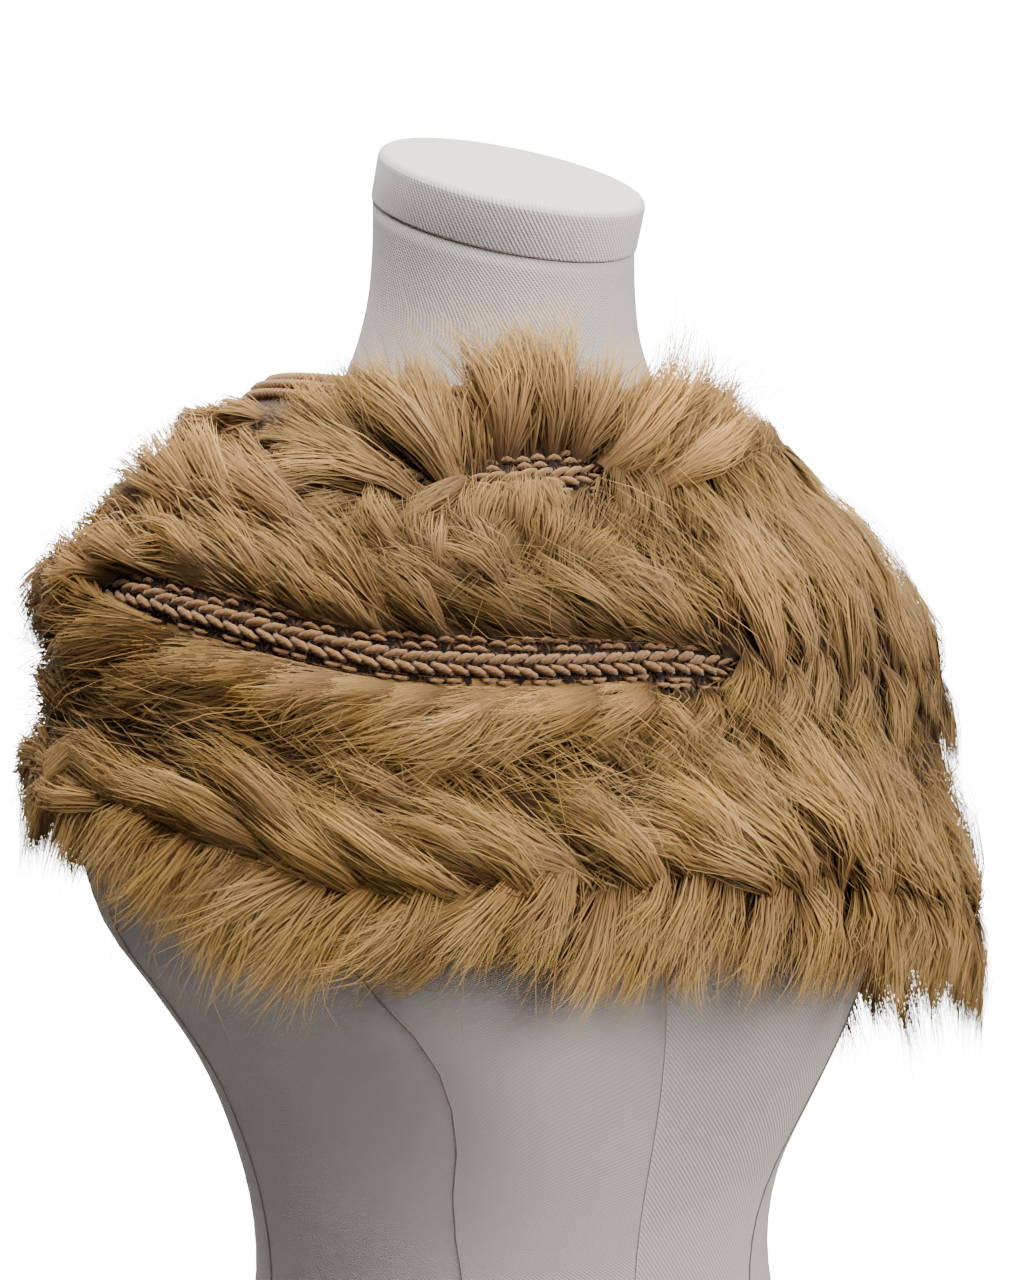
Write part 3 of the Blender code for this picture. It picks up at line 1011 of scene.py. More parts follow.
# ---- dress form
@dataclass
class DressForm:
    """The torso under its twill cover, its seams and its neck cap, in millimetres and degrees."""

    columns: int = 120
    steps: int = 3  # sections made from each to the next of the table
    bust_side: float = 86.0  # how far to each side the bust is fullest, in millimetres
    bust_height: float = 338.0
    bust_rise: float = 24.0
    bust_spread: Pair = (44.0, 46.0)
    cap_height: float = 22.0
    cap_edge: float = 4.0
    cap_over: float = 0.8  # how far the cap reaches past the neck
    cap_gap: float = 0.3
    # Inset and height of the rings at the cap's foot
    cap_foot: tuple[Pair, ...] = ((1.2, 0.0), (0.2, 0.5), (0.0, 1.4))
    cap_curve: int = 6
    cap_rings: int = 8
    seam_out: float = 0.1  # how far a seam stands out from the cloth
    seam_low: float = 1.0
    seam_high: float = 480.0
    bust_seam_high: float = 430.0
    middle_seams: Pair = (0.0, 179.9)
    side_seams: Pair = (90.0, -90.0)
    back_seam: Pair = (142.0, 0.03)  # azimuth at the base, and degrees more for each millimetre up
    seam_radius: float = 0.5
    seam_sides: int = 4
    seam_step: float = 5.0
    seam_trials: int = 721  # points tried round a section
    # Heights and azimuths of the seam over the bust
    princess: tuple[Pair, ...] = (
        (0, 43), (60, 42), (150, 41.2), (243, 41.2), (260, 41.8), (280, 41.3), (303, 39.5),
        (321, 39.6), (337, 41), (351, 44.1), (363, 48.2), (373, 51.1), (395, 60), (430, 78))

    def sections(self) -> Array:
        """The table's sections with smooth ones between them, one in each row."""
        return smooth_line(np.array(FORM), self.steps)

    def ring(self, section: Array, turn: Array, grow: float = 0.0) -> Array:
        """Points round one section.

        Args:
            section: height, tilt, half width, front, back and power.
            turn: parameter angles in radians, 0 at the front.
            grow: distance outside the surface in millimetres.

        Returns:
            The points in metres.
        """
        z, tilt, half_width, front, back, power = section
        side, ahead = np.sin(turn), np.cos(turn)
        x = (half_width + grow) * np.sign(side) * np.abs(side) ** (2 / power)
        depth = np.where(ahead > 0, front, back) + grow
        y = -depth * np.sign(ahead) * np.abs(ahead) ** (2 / power)
        across = (np.abs(x) - self.bust_side) / self.bust_spread[0]
        up = (z - self.bust_height) / self.bust_spread[1]
        rise = self.bust_rise * np.exp(-0.5 * (across ** 2 + up ** 2))
        y = y - rise * np.sqrt(np.clip(ahead, 0, 1))
        lean = math.radians(tilt)
        return np.stack([x, y * math.cos(lean), z + y * math.sin(lean)], -1) * MM

    def torso(self) -> None:
        """Loft the torso and neck in one body with a flat base."""
        turn = np.arange(self.columns) / self.columns * TURN
        rows = np.array([self.ring(section, turn) for section in self.sections()])
        corners, places = grid_faces(len(rows), self.columns)
        closed = np.concatenate([rows, rows[:, :1]], axis=1)
        girth = np.cumsum(np.linalg.norm(np.diff(closed, axis=1), axis=2), axis=1)
        girth = np.concatenate([np.zeros((len(rows), 1)), girth], axis=1)
        rise = np.cumsum(np.linalg.norm(np.diff(rows, axis=0), axis=2).mean(axis=1))
        rise = np.concatenate([[0], rise])
        uv = np.stack([girth[places[..., 0], places[..., 1]], rise[places[..., 0]]], -1)
        base = np.arange(self.columns)[::-1][None]
        top = np.arange(self.columns)[None] + (len(rows) - 1) * self.columns
        flat = rows.reshape(-1, 3)
        parts = MeshParts()
        parts.add(flat, [corners, base, top], [uv, flat[base][..., :2], flat[top][..., :2]])
        dress(parts.build("torso_cover"), FORM_TWILL.build(), "form_cloth", "form_torso")

    def seam_line(self, azimuth: Callable[[float], float], high: float) -> Array:
        """Points up a seam.

        Args:
            azimuth: azimuth in degrees at a height in millimetres.
            high: height where the seam ends.

        Returns:
            The points in metres, just outside the surface.
        """
        table = self.sections()
        turn = np.linspace(-math.pi, math.pi, self.seam_trials)
        line = []
        for z in np.arange(self.seam_low, high, self.seam_step):
            section = np.array([np.interp(z, table[:, 0], column) for column in table.T])
            points = self.ring(section, turn, self.seam_out)
            angle = np.unwrap(np.arctan2(points[:, 0], -points[:, 1]))
            wanted = math.radians(azimuth(z))
            line.append([np.interp(wanted, angle, points[:, k]) for k in range(3)])
        return np.array(line)

    def seams(self) -> None:
        """Stitched seams at the middle, the sides and between them."""
        heights, angles = zip(*self.princess)
        at_base, by_height = self.back_seam

        def straight(azimuths: Pair) -> list[Array]:
            """Seams that keep their azimuth."""
            return [self.seam_line(lambda z, a=a: a, self.seam_high) for a in azimuths]

        middle, others = straight(self.middle_seams), straight(self.side_seams)
        others += [self.seam_line(lambda z, s=s: s * float(np.interp(z, heights, angles)),
                                  self.bust_seam_high) for s in (1, -1)]
        others += [self.seam_line(lambda z, s=s: s * (at_base + by_height * z),
                                  self.seam_high) for s in (1, -1)]
        for name, lines, finish in (("form_middle_seams", middle, PALE_THREAD),
                                    ("form_side_seams", others, SEAM_THREAD)):
            parts = MeshParts()
            for line in lines:
                away = unit(line * (1, 1, 0))
                radius = np.full((1, len(line)), self.seam_radius * MM)
                bundle_of_tubes(parts, line[None], away[None], radius, self.seam_sides)
            dress(parts.build(name), finish.build(), "form_cloth")

    def cap(self) -> None:
        """Lay the cloth over the neck cap, with a soft top edge and a narrow seam under it."""
        neck = FORM[-1]
        corner = np.linspace(0, math.pi / 2, self.cap_curve + 1)
        foot_inset, foot_rise = zip(*self.cap_foot)
        to_middle = np.linspace(self.cap_edge, neck.half_width, self.cap_rings + 1)[1:]
        inset = np.concatenate([foot_inset, self.cap_edge * (1 - np.cos(corner)), to_middle])
        rise = np.concatenate([foot_rise,
                               self.cap_height - self.cap_edge * (1 - np.sin(corner)),
                               np.full(self.cap_rings, self.cap_height)]) + self.cap_gap
        turn = np.arange(self.columns) / self.columns * TURN
        across = (neck.half_width + self.cap_over - inset)[:, None] * np.sin(turn)
        ahead = (neck.front + self.cap_over - inset)[:, None] * -np.cos(turn)
        lean = math.radians(neck.tilt)
        up = np.broadcast_to(rise[:, None], ahead.shape)
        rows = np.stack([across, ahead * math.cos(lean) - up * math.sin(lean),
                         neck.z + ahead * math.sin(lean) + up * math.cos(lean)], -1) * MM
        corners, places = grid_faces(len(rows), self.columns)
        girth = places[..., 1] / self.columns * TURN * neck.half_width
        side = np.stack([girth, (rise - inset)[places[..., 0]]], -1)
        flat = np.stack([across, ahead], -1)[places[..., 0], places[..., 1] % self.columns]
        on_top = places[:, :1, 0] >= len(self.cap_foot) + self.cap_curve
        uv = np.where(on_top[..., None], flat, side) * MM
        last = (len(rows) - 1) * self.columns
        ends = [np.arange(self.columns)[::-1][None], np.arange(self.columns)[None] + last]
        end_uv = [np.stack([across, ahead], -1)[row][None] * MM for row in (0, -1)]
        parts = MeshParts()
        parts.add(rows.reshape(-1, 3), [corners, *ends], [uv, *end_uv])
        # The cap's cloth is a paler copy of the form's, as painted light
        dress(parts.build("cap_cover"), CAP_TWILL_PAINTED_LIGHT.build(), "form_cloth", "form_neck_cap")

    def build(self) -> None:
        """Make every part of the form."""
        self.torso()
        self.seams()
        self.cap()


# ---- knitting
@dataclass
class KnitTube:
    """The knitted tube that carries the braids and the fur."""

    surface: WrapSurface
    ring: str = "row_1"
    wall: float = 2.5
    columns: int = 120
    pitch: float = 12.0

    def build(self) -> None:
        """Make two skins joined at both edges."""
        azimuth = self.surface.even_azimuths(self.ring, self.columns)
        edge = self.surface.ring("edge", azimuth)
        count = round(float(edge.mean()) / self.pitch)
        share = np.linspace(0, 1, count)[:, None]
        along = share * edge[None]
        outer = self.surface.point(azimuth[None], along, 0.0)[0]
        inner = self.surface.point(azimuth[None], along, -self.wall)[0]
        rows = np.concatenate([outer, inner[::-1], outer[:1]])
        corners, places = grid_faces(len(rows), self.columns)
        length = self.surface.length_round(self.ring) * MM
        depth = float(edge.mean()) * MM
        v = np.concatenate([share[:, 0], share[::-1, 0], share[:1, 0]]) * depth
        uv = np.stack([places[..., 1] / self.columns * length, v[places[..., 0]]], -1)
        corners = corners % (2 * count * self.columns)
        parts = MeshParts()
        parts.add(rows[:-1].reshape(-1, 3), [corners[:, ::-1]], [uv[:, ::-1]])
        tube = dress(parts.build("knit_body"), KNIT.build(), "knit", "knit_tube")

    @staticmethod
    def area(rows: Array) -> float:
        """Area of one skin.

        Args:
            rows: its points, rows by columns by 3, in metres.

        Returns:
            The area in square metres.
        """
        right = np.roll(rows, -1, axis=1)
        across, up = right[:-1] - rows[:-1], rows[1:] - rows[:-1]
        return float(np.linalg.norm(np.cross(across, up), axis=2).sum())


@dataclass
class NeckRib:
    """The ribbed edge at the neck: the bound rim, and two cords below it."""

    surface: WrapSurface
    # Place along the wall, height over it and radius of each cord
    cords: tuple[Triple, ...] = (
        (-3.7, -1.25, 3.4), (1.9, 1.2, 2.6), (7.2, 1.2, 2.6))
    yarn: float = 0.95  # radius of the yarn that is wound round a cord
    turns: int = 215
    turn_points: int = 6
    yarn_sides: int = 4
    core_points: int = 97
    core_sides: int = 8
    core_inset: float = 1.4  # how far below the cord's surface the core lies, in yarn radii

    def build(self) -> None:
        """Make the cords, with yarn wound round each, as one piece."""
        parts = MeshParts()
        for along, out, radius in self.cords:
            azimuth = np.linspace(0, TURN, self.core_points)
            core, away = self.surface.point(azimuth, along, out)
            thick = (radius - self.yarn * self.core_inset) * MM
            bundle_of_tubes(parts, core[None], away[None], np.full((1, len(core)), thick),
                            self.core_sides)
            count = self.turns * self.turn_points + 1
            azimuth = np.linspace(0, TURN, count)
            phase = np.arange(count) / self.turn_points * TURN
            wind = radius - self.yarn
            path, _ = self.surface.point(azimuth, along + wind * np.cos(phase),
                                         out + wind * np.sin(phase))
            middle, _ = self.surface.point(azimuth, along, out)
            bundle_of_tubes(parts, path[None], unit(path - middle)[None],
                            np.full((1, count), self.yarn * MM), self.yarn_sides)
        dress(parts.build("neck_rib"), RIB_YARN.build(), "knit", "knit_top_rib")


@dataclass
class Braid:
    """A braided row: two lines of slanting stitches that meet along the middle.

    Sizes are in millimetres.
    """

    surface: WrapSurface
    name: str
    row: str
    node: str
    seed: int
    rings: int = 6
    sides: int = 6
    per_eyelet: int = 3  # stitches from an eyelet to the next
    length: float = 7.8
    spread: Pair = (0.5, 3.5)  # from the row's middle to the inner and the outer end of a stitch
    spread_power: float = 0.8  # below 1, a stitch bends outwards near its inner end
    thickness: float = 1.55
    end_power: float = 0.4  # below 1, a stitch keeps its thickness towards its ends
    base: float = 1.2  # height of the stitches' ends over the wall
    arch: Pair = (0.1, 0.8)  # where on a half wave a stitch starts, and how much of it it follows
    crown: float = 2.0  # how much higher the middle of a stitch is
    covered: float = 0.45  # size of the stitches where fur covers them
    shift: float = 0.25  # between the two lines along the row, in lengths
    uneven: float = 0.3  # how far ends stray, in millimetres
    uneven_out: float = 0.4
    uneven_thick: float = 0.18
    twist: float = 1.6  # turns of the plies along a stitch
    ply: float = 0.15  # depth of the groove between them
    loop_side: float = 5.7  # from the row's middle to the first line of loops
    loop_step: float = 2.9  # from there to the second
    loop_points: int = 5
    loop_sides: int = 5
    loop_length: float = 6.6
    loop_thickness: float = 1.15
    loop_end: float = 0.15
    loop_bow: float = 0.9  # how far its middle bends outwards
    loop_base: float = 0.9
    loop_crown: float = 1.1
    loop_back: Pair = (0.3, 0.4)  # how far before its stitch a loop of each line starts
    loop_uneven: float = 0.4
    loop_uneven_out: float = 0.25

    def build(self) -> None:
        """Lay every stitch, and the loops along both edges, as one piece."""
        rng = np.random.default_rng(self.seed)
        count = self.per_eyelet * self.surface.eyelets(self.row)
        start = self.surface.even_azimuths(self.row, count)
        radius = self.surface.radius(self.row, start)
        share = np.linspace(0, 1, self.rings)[None]
        arch = np.sin(math.pi * (self.arch[0] + self.arch[1] * share))
        low, high = self.spread
        parts = MeshParts()
        for side in (-1, 1):
            jitter = rng.normal(0, self.uneven, (4, count, 1))
            ahead = self.length * (self.shift * side + share) + jitter[0]
            azimuth = start[:, None] + ahead / radius[:, None]
            along = (self.surface.ring(self.row, azimuth)
                     + side * (low + (high - low) * share ** self.spread_power + jitter[1]))
            shown = self.covered + (1 - self.covered) * showing(self.row, azimuth)
            out = self.base + (self.crown * arch + self.uneven_out * jitter[2]) * shown
            centres, away = self.surface.point(azimuth, along, out)
            thick = (self.thickness * shown * arch ** self.end_power
                     * (1 + self.uneven_thick * jitter[3]) * MM)
            bundle_of_tubes(parts, centres, away, thick, self.sides, self.twist, self.ply)
        self.edge_loops(parts, rng)
        dress(parts.build(self.name), BRAID_YARN.build(), "braid_yarn", self.node)

    def edge_loops(self, parts: MeshParts, rng: Rng) -> None:
        """Add the flat loops between the eyelets that the fur comes out of.

        Args:
            parts: where the loops go.
            rng: source of the small differences.
        """
        pitch = TURN / (self.per_eyelet * self.surface.eyelets(self.row))
        share = np.linspace(0, 1, self.loop_points)[None]
        bow = np.sin(math.pi * share)
        thick = self.loop_thickness * (self.loop_end + (1 - self.loop_end) * bow) ** 0.5 * MM
        for way in Way:
            holes = self.surface.eyelet_azimuths(self.row, way)[:, None]
            gaps = holes + pitch * (np.arange(1, self.per_eyelet)[None] - self.loop_back[0])
            below = holes + pitch * (np.arange(self.per_eyelet)[None] - self.loop_back[1])
            for start, aside in ((gaps, self.loop_side), (below, self.loop_side + self.loop_step)):
                start = start.ravel()
                start = start[showing(self.row, start) > 0]
                count = len(start)
                jitter = rng.normal(0, self.loop_uneven, (2, count, 1))
                reach = self.loop_length * share / self.surface.radius(self.row, start)[:, None]
                azimuth = start[:, None] + reach
                along = (self.surface.ring(self.row, azimuth)
                         + way.value * (aside + self.loop_bow * bow + jitter[0]))
                out = (self.loop_base + self.loop_crown * bow
                       + self.loop_uneven_out * jitter[1])
                centres, away = self.surface.point(azimuth, along, out)
                bundle_of_tubes(parts, centres, away, np.repeat(thick, count, 0),
                                self.loop_sides, 1.0, self.ply)


# ---- fur
FULL_LENGTH = 46.0        # hairs at least this long make locks of full width
NARROWEST = 0.35          # width of a lock of short hairs over the full width
TONE_RANGE = (0.05, 1.0)
LOW_RISE = 0.75           # hairs that rise less than this get painted shade, as in a hollow
HIGH_RISE = 1.02          # and more than this get painted light
ARCH_TOP = 0.56           # share of a hair's length where it is highest
ARCH_POWER = 0.85
DROOP_FROM = 0.5          # share of a hair's length where it starts to droop
LEAST_RADIUS = 40.0       # of the wall, where hairs bend over its upper edge
FREE_HEIGHT = 60.0        # more than any pile, so that it doesn't hold hairs down
BESIDE_BRAID = 1.5        # height of the hairs beside a braid that shows
PART_RATE = 3.0           # how fast the hairs part as a braid starts to show


@dataclass(frozen=True)
class Locks:
    """Where each lock is rooted and how it runs, in radians and millimetres."""

    azimuth: Array
    start: Array
    root: Array
    tip: Array
    length: Array
    half: Array
    rise: Array


@dataclass(frozen=True)
class Strands:
    """Paths of hairs over the wall, in millimetres and radians.

    The colours along a hair start at `pale` and are scaled by `shade`.
    """

    azimuth: Array
    along: Array
    out: Array
    high: Array
    width: Array
    tone: Array
    tilt: Array
    pale: Array | float = 0.0
    shade: float = 1.0


class Layer(NamedTuple):
    """One layer of a clump: its share of the hairs, and between which depths they lie."""

    share: float
    fewer_points: int
    low: float
    high: float


@dataclass(frozen=True)
class ClumpShape:
    """How clumps and their hairs differ, in radians, millimetres or over their own size.

    A field named after a lock, a clump or a hair says how much those differ.
    """

    # The upper hairs, and those under them
    layers: tuple[Layer, ...] = (Layer(0.6, 0, 0.45, 1.0), Layer(0.4, 1, 0.0, 0.6))
    place: float = 0.16  # how far a clump strays across its lock
    same_depth: float = 0.35  # share of a hair's depth that it has from its clump
    clump_turn: float = 0.07
    clump_bend: float = 0.16
    hair_turn: float = 0.06
    hair_bend: float = 0.15
    curl: float = 0.22  # how far a lock swings to each side
    curl_turns: float = 0.75
    root_fan: float = 0.2  # how wide a lock is at its root
    fan_by: float = 0.65  # share of its length where it is widest
    close_from: float = 0.7  # share of its length where it starts to close
    close: float = 0.25  # how much narrower it is at its tip
    # Width of a clump at its root, over its middle, and towards its tip
    gather: Triple = (0.6, 1.3, 0.25)
    gather_power: float = 0.8  # below 1, the widest place is nearer the root
    clump_length: float = 0.09
    hair_length: Pair = (0.84, 1.04)  # shortest and longest hair of a clump
    deep_length: float = 0.82
    side_length: float = 0.10  # how much shorter the hairs at a lock's sides are
    root_place: float = 0.8
    dome: float = 0.38  # how much lower a lock is at its sides
    dome_edge: float = 1.2  # how far across that goes on
    low_height: float = 0.22
    clump_height: float = 0.09
    hair_height: float = 0.03
    root_height: float = 0.7
    buried_height: float = 6.5  # how much higher roots are over a covered braid
    buried_reach: float = 10.0  # how far from the row that goes on
    lock_droop: float = 0.12
    clump_droop: float = 0.08
    lock_tone: float = 0.04
    clump_tone: float = 0.06
    hair_tone: float = 0.045
    painted_shade_low: float = 1.3  # how fast low locks get darker, as painted shade
    painted_light_high: float = 0.7  # how fast high locks get paler, as painted light
    width: Pair = (0.72, 1.2)
    side_tilt: float = 0.5  # how far the light on a lock's sides turns with them
    hair_tilt: float = 0.25  # how far it turns by hair
    pale: float = 0.08  # where on the way to the tip's colour a hair starts
    buried_pale: float = 0.2  # how much further on it starts over a covered braid

    def fan(self, share: Array, loose: float) -> Array:
        """Width of a lock along its length.

        Args:
            share: share of the length.
            loose: how untidy the lock is.

        Returns:
            The width over the lock's own.
        """
        opened = (self.root_fan * loose ** 2
                  + (1 - self.root_fan) * smooth_step(share / self.fan_by))
        closed = smooth_step((share - self.close_from) / (1 - self.close_from))
        return np.minimum(opened, 1.0) * (1 - self.close * closed)

    def gathered(self, share: Array) -> Array:
        """Width of a clump along its length, in millimetres for each hair's own offset."""
        wave = np.sin(math.pi * share ** self.gather_power)
        return self.gather[0] + self.gather[1] * wave + self.gather[2] * share


class HairKind(NamedTuple):
    """Single hairs of one kind, in radians, millimetres or over the flow's own size.

    The length and the height run from least to most, and the tone is its mean and its
    deviation.
    """

    turn: float
    bend: float
    bend_power: float
    length: Pair
    height: Pair
    base: float
    tone: Pair
    tilt: float
    pale: float


UNDER = HairKind(turn=0.16, bend=0.14, bend_power=1, length=(0.25, 0.5), height=(0.15, 0.5),
                 base=0.6, tone=(0.3, 0.10), tilt=0.3, pale=0.12)
STRAY = HairKind(turn=0.22, bend=0.55, bend_power=2, length=(0.5, 1.12), height=(0.75, 1.15),
                 base=0.8, tone=(0.66, 0.12), tilt=0.4, pale=0.0)


@dataclass(frozen=True)
class CoatShape:
    """The dense coat under a band's hairs, dark with the roots' colour and with painted shade
    between the locks.
    """

    height: float = 0.42  # height over the pile's
    reach: float = 1.0  # where it ends, over the depth of the roots
    taper: float = 0.3  # how much lower it is at its end
    columns: int = 120
    rows: int = 6
    gap: float = 1.5  # clearance from the bare stretch over a braid
    lumps: float = 0.2  # how much higher it is under each lock
    slant: float = 3.0  # how far the lumps lean along the wall
    first: float = 0.25  # how far its edge has risen
    full: float = 0.3  # share of its width where it has risen all the way
    shown: float = 0.85  # how much lower it is beside a braid that shows
    back: float = 0.5  # share of that which is made up at its end
    skins: Pair = (0.2, 0.5)  # heights of its two skins over the wall
    # Its place along a hair, its tone and its depth in the pile; the low depth gives it painted
    # shade
    colour: Triple = (0.11, 0.3, 0.15)


@dataclass(frozen=True)
class BladeShape:
    """How a hair's path becomes a flat tapering blade."""

    turn: float = 0.3  # how far blades turn about their own path, in radians
    twist: float = 0.3
    root_width: float = 0.75
    taper_power: float = 3.0  # the higher, the nearer to the tip a blade narrows
    lean: float = 0.8  # how far blades turn up towards the front
    lean_over: float = 0.34  # how fast that fades towards the back
    lit_by_wall: float = 0.6  # weight of the wall's direction in the light on a blade
    lit_by_blade: float = 0.6  # weight of the blade's own
    painted_light_right: float = 0.2  # how much paler the wearer's right side is, and the left darker, as painted light


@dataclass
class FurBand:
    """A band of pile: locks side by side over a dense coat, with stray hairs."""

    surface: WrapSurface
    name: str
    row: str  # ring of the braid that it grows from
    way: Way  # whether it lies up or down from there
    far: str  # ring that it reaches
    fill: float  # share of the way there where hairs are still rooted
    flow: tuple[Flow, ...]
    pile: Ring  # height of the pile round the wrap
    seed: int
    droop: float = 0.35  # how much of its height a hair loses at its tip
    tufts: tuple[Tuft, ...] = ()  # large locks with their own place
    loose: int = 46  # locks rooted beyond the row
    clumps: int = 6
    hairs: int = 34
    under_count: int = 3600  # short darker hairs close to the knit
    under: HairKind = UNDER
    strays: int = 700  # fine hairs that leave the locks
    points: int = 5
    hair_width: float = 0.5
    lock_half: float = 6.8
    loose_half: float = 7.4
    eyelet: float = 5.5  # from the row's middle to its eyelets
    roots: int = 16  # dark hairs in each eyelet that shows
    bare_half: float = 9.0  # half width of the bare stretch over a braid that shows
    press: float = 0.15  # how much of a hair's way into that stretch is left
    crossing: float = 13.0  # how far past the middle of a covered braid hairs are rooted
    ramp: float = 1.15  # slope of the pile beside a braid that shows
    clump: ClumpShape = ClumpShape()
    coat: CoatShape = CoatShape()
    blade: BladeShape = BladeShape()

    def flow_at(self, azimuth: Array) -> tuple[Array, Array, Array, Array]:
        """The flow between the azimuths that its table names.

        Args:
            azimuth: angles in radians.

        Returns:
            Root angle and tip angle in radians, length in millimetres, and rise.
        """
        table = np.array(self.flow)
        degrees = np.degrees(azimuth)
        root, tip, length, rise = (np.interp(degrees, table[:, 0], table[:, k], period=360)
                                   for k in (1, 2, 3, 4))
        return np.radians(root), np.radians(tip), length, rise

    @staticmethod
    def narrow(length: Array) -> Array:
        """How much of the usual width a lock keeps where the fur is short."""
        return np.clip(length / FULL_LENGTH, NARROWEST, 1.0)

    def depth(self, azimuth: Array) -> Array:
        """How far from the row hairs are still rooted, in millimetres."""
        reach = self.surface.ring(self.far, azimuth) - self.surface.ring(self.row, azimuth)
        return np.abs(reach) * self.fill

    def row_locks(self, rng: Rng, place: float = 1.2, inside: float = 3.2,
                  angles: Pair = (0.10, 0.20), size: float = 0.09, half: float = 0.1) -> Locks:
        """The locks that come out of the row's eyelets.

        Args:
            rng: source of every difference.
            place: how far they stray along the row, in millimetres.
            inside: from an eyelet that shows to the roots, in millimetres.
            angles: how far root and tip turn from the flow, in radians.
            size: how much length and rise differ.
            half: how much the width differs.

        Returns:
            One lock for each eyelet.
        """
        azimuth = self.surface.eyelet_azimuths(self.row, self.way)
        count = len(azimuth)
        azimuth = azimuth + rng.normal(0, place, count) / self.surface.radius(self.row, azimuth)
        root, tip, length, rise = self.flow_at(azimuth)
        shown = showing(self.row, azimuth)
        start = (shown * (self.eyelet + inside)
                 - (1 - shown) * rng.uniform(0, self.crossing, count))
        return Locks(azimuth, start, root + rng.normal(0, angles[0], count),
                     tip + rng.normal(0, angles[1], count), length * rng.normal(1, size, count),
                     self.lock_half * self.narrow(length) * rng.normal(1, half, count),
                     rise * rng.normal(1, size, count))

    def loose_locks(self, rng: Rng, place: float = 0.4, angles: Pair = (0.16, 0.26),
                    lengths: Pair = (0.6, 0.85), half: float = 0.1,
                    rises: Pair = (0.66, 0.96)) -> Locks:
        """Locks rooted between the row and the end of the band.

        Args:
            rng: source of every difference.
            place: how far they stray along the row, over their distance.
            angles: how far root and tip turn from the flow, in radians.
            lengths: shortest and longest over the flow's length.
            half: how much the width differs.
            rises: lowest and highest over the flow's rise.

        Returns:
            The locks.
        """
        count = self.loose
        azimuth = (np.arange(count) + rng.uniform(-place, place, count)) / count * TURN
        root, tip, length, rise = self.flow_at(azimuth)
        near = -self.crossing * (1 - showing(self.row, azimuth))
        far = self.depth(azimuth) * self.narrow(length)
        start = near + (far - near) * rng.permutation((np.arange(count) + 0.5) / count)
        return Locks(azimuth, start, root + rng.normal(0, angles[0], count),
                     tip + rng.normal(0, angles[1], count), length * rng.uniform(*lengths, count),
                     self.loose_half * self.narrow(length) * rng.normal(1, half, count),
                     rise * rng.uniform(*rises, count))

    def tuft_locks(self) -> Locks:
        """The large locks that have their own place."""
        azimuth, start, root, tip, *sizes = np.array(self.tufts).T
        return Locks(np.radians(azimuth), start, np.radians(root), np.radians(tip), *sizes)

    def sweep(self, azimuth: Array, start: Array, angle: Array, length: Array,
              side: Array, part: bool = True) -> tuple[Array, Array]:
        """Walk from each root along the wall.

        Args:
            azimuth: azimuth of each root.
            start: how far from the row each root is, in millimetres.
            angle: direction at each point, in radians.
            length: length of each hair in millimetres.
            side: offset across the direction at each point, in millimetres.
            part: whether the hairs leave the braid bare where it shows.

        Returns:
            Azimuth and length along the wall at each point.
        """
        step = length / (angle.shape[1] - 1)
        middle = (angle[:, 1:] + angle[:, :-1]) / 2
        zero = np.zeros((len(angle), 1))
        across = np.concatenate([zero, np.cumsum(np.sin(middle) * step, axis=1)], axis=1)
        ahead = np.concatenate([zero, np.cumsum(np.cos(middle) * step, axis=1)], axis=1)
        across = across + side * np.cos(angle)
        ahead = start + ahead - side * np.sin(angle)
        if part:
            here = azimuth + across / self.surface.radius(self.row, azimuth)
            shown = showing(self.row, here)
            bare = shown * self.bare_half
            pressed = np.maximum(ahead, bare + (ahead - bare) * self.press)
            ahead = ahead + (pressed - ahead) * smooth_step(PART_RATE * shown)
        along = self.surface.ring(self.row, azimuth) + self.way.value * ahead
        wall = self.surface.sample(np.broadcast_to(azimuth, along.shape), along)[..., 0]
        return azimuth + across / np.maximum(wall, LEAST_RADIUS), along

    def rise(self, azimuth: Array, along: Array, share: Array, start: Array, height: Array,
             droop: Array, part: bool = True) -> tuple[Array, Array]:
        """Height over the wall.

        Args:
            azimuth: azimuth at each point.
            along: length along the wall at each point, in millimetres.
            share: share of the hair's length at each point.
            start: height of each root in millimetres.
            height: height of each hair over the pile.
            droop: how much of its height each hair loses at its tip.
            part: whether the hairs lie low beside the braid where it shows.

        Returns:
            Height in millimetres, and over the pile from 0 to 1.
        """
        arch = np.sin(math.pi / 2 * np.clip(share / ARCH_TOP, 0, 1)) ** ARCH_POWER
        arch = arch * (1 - droop * smooth_step((share - DROOP_FROM) / (1 - DROOP_FROM)))
        pile = smooth_ring(self.pile, azimuth)
        out = start + (pile - start) * arch * height
        # Height over the pile, which the fur's colour turns into painted shade
        high = np.clip(out / pile, 0, 1)
        if part:
            ahead = self.way.value * (along - self.surface.ring(self.row, azimuth))
            most = BESIDE_BRAID + self.ramp * np.maximum(ahead - self.bare_half + 1.0, 0)
            out = np.minimum(out, most + FREE_HEIGHT * (1 - showing(self.row, azimuth)))
        return out, high

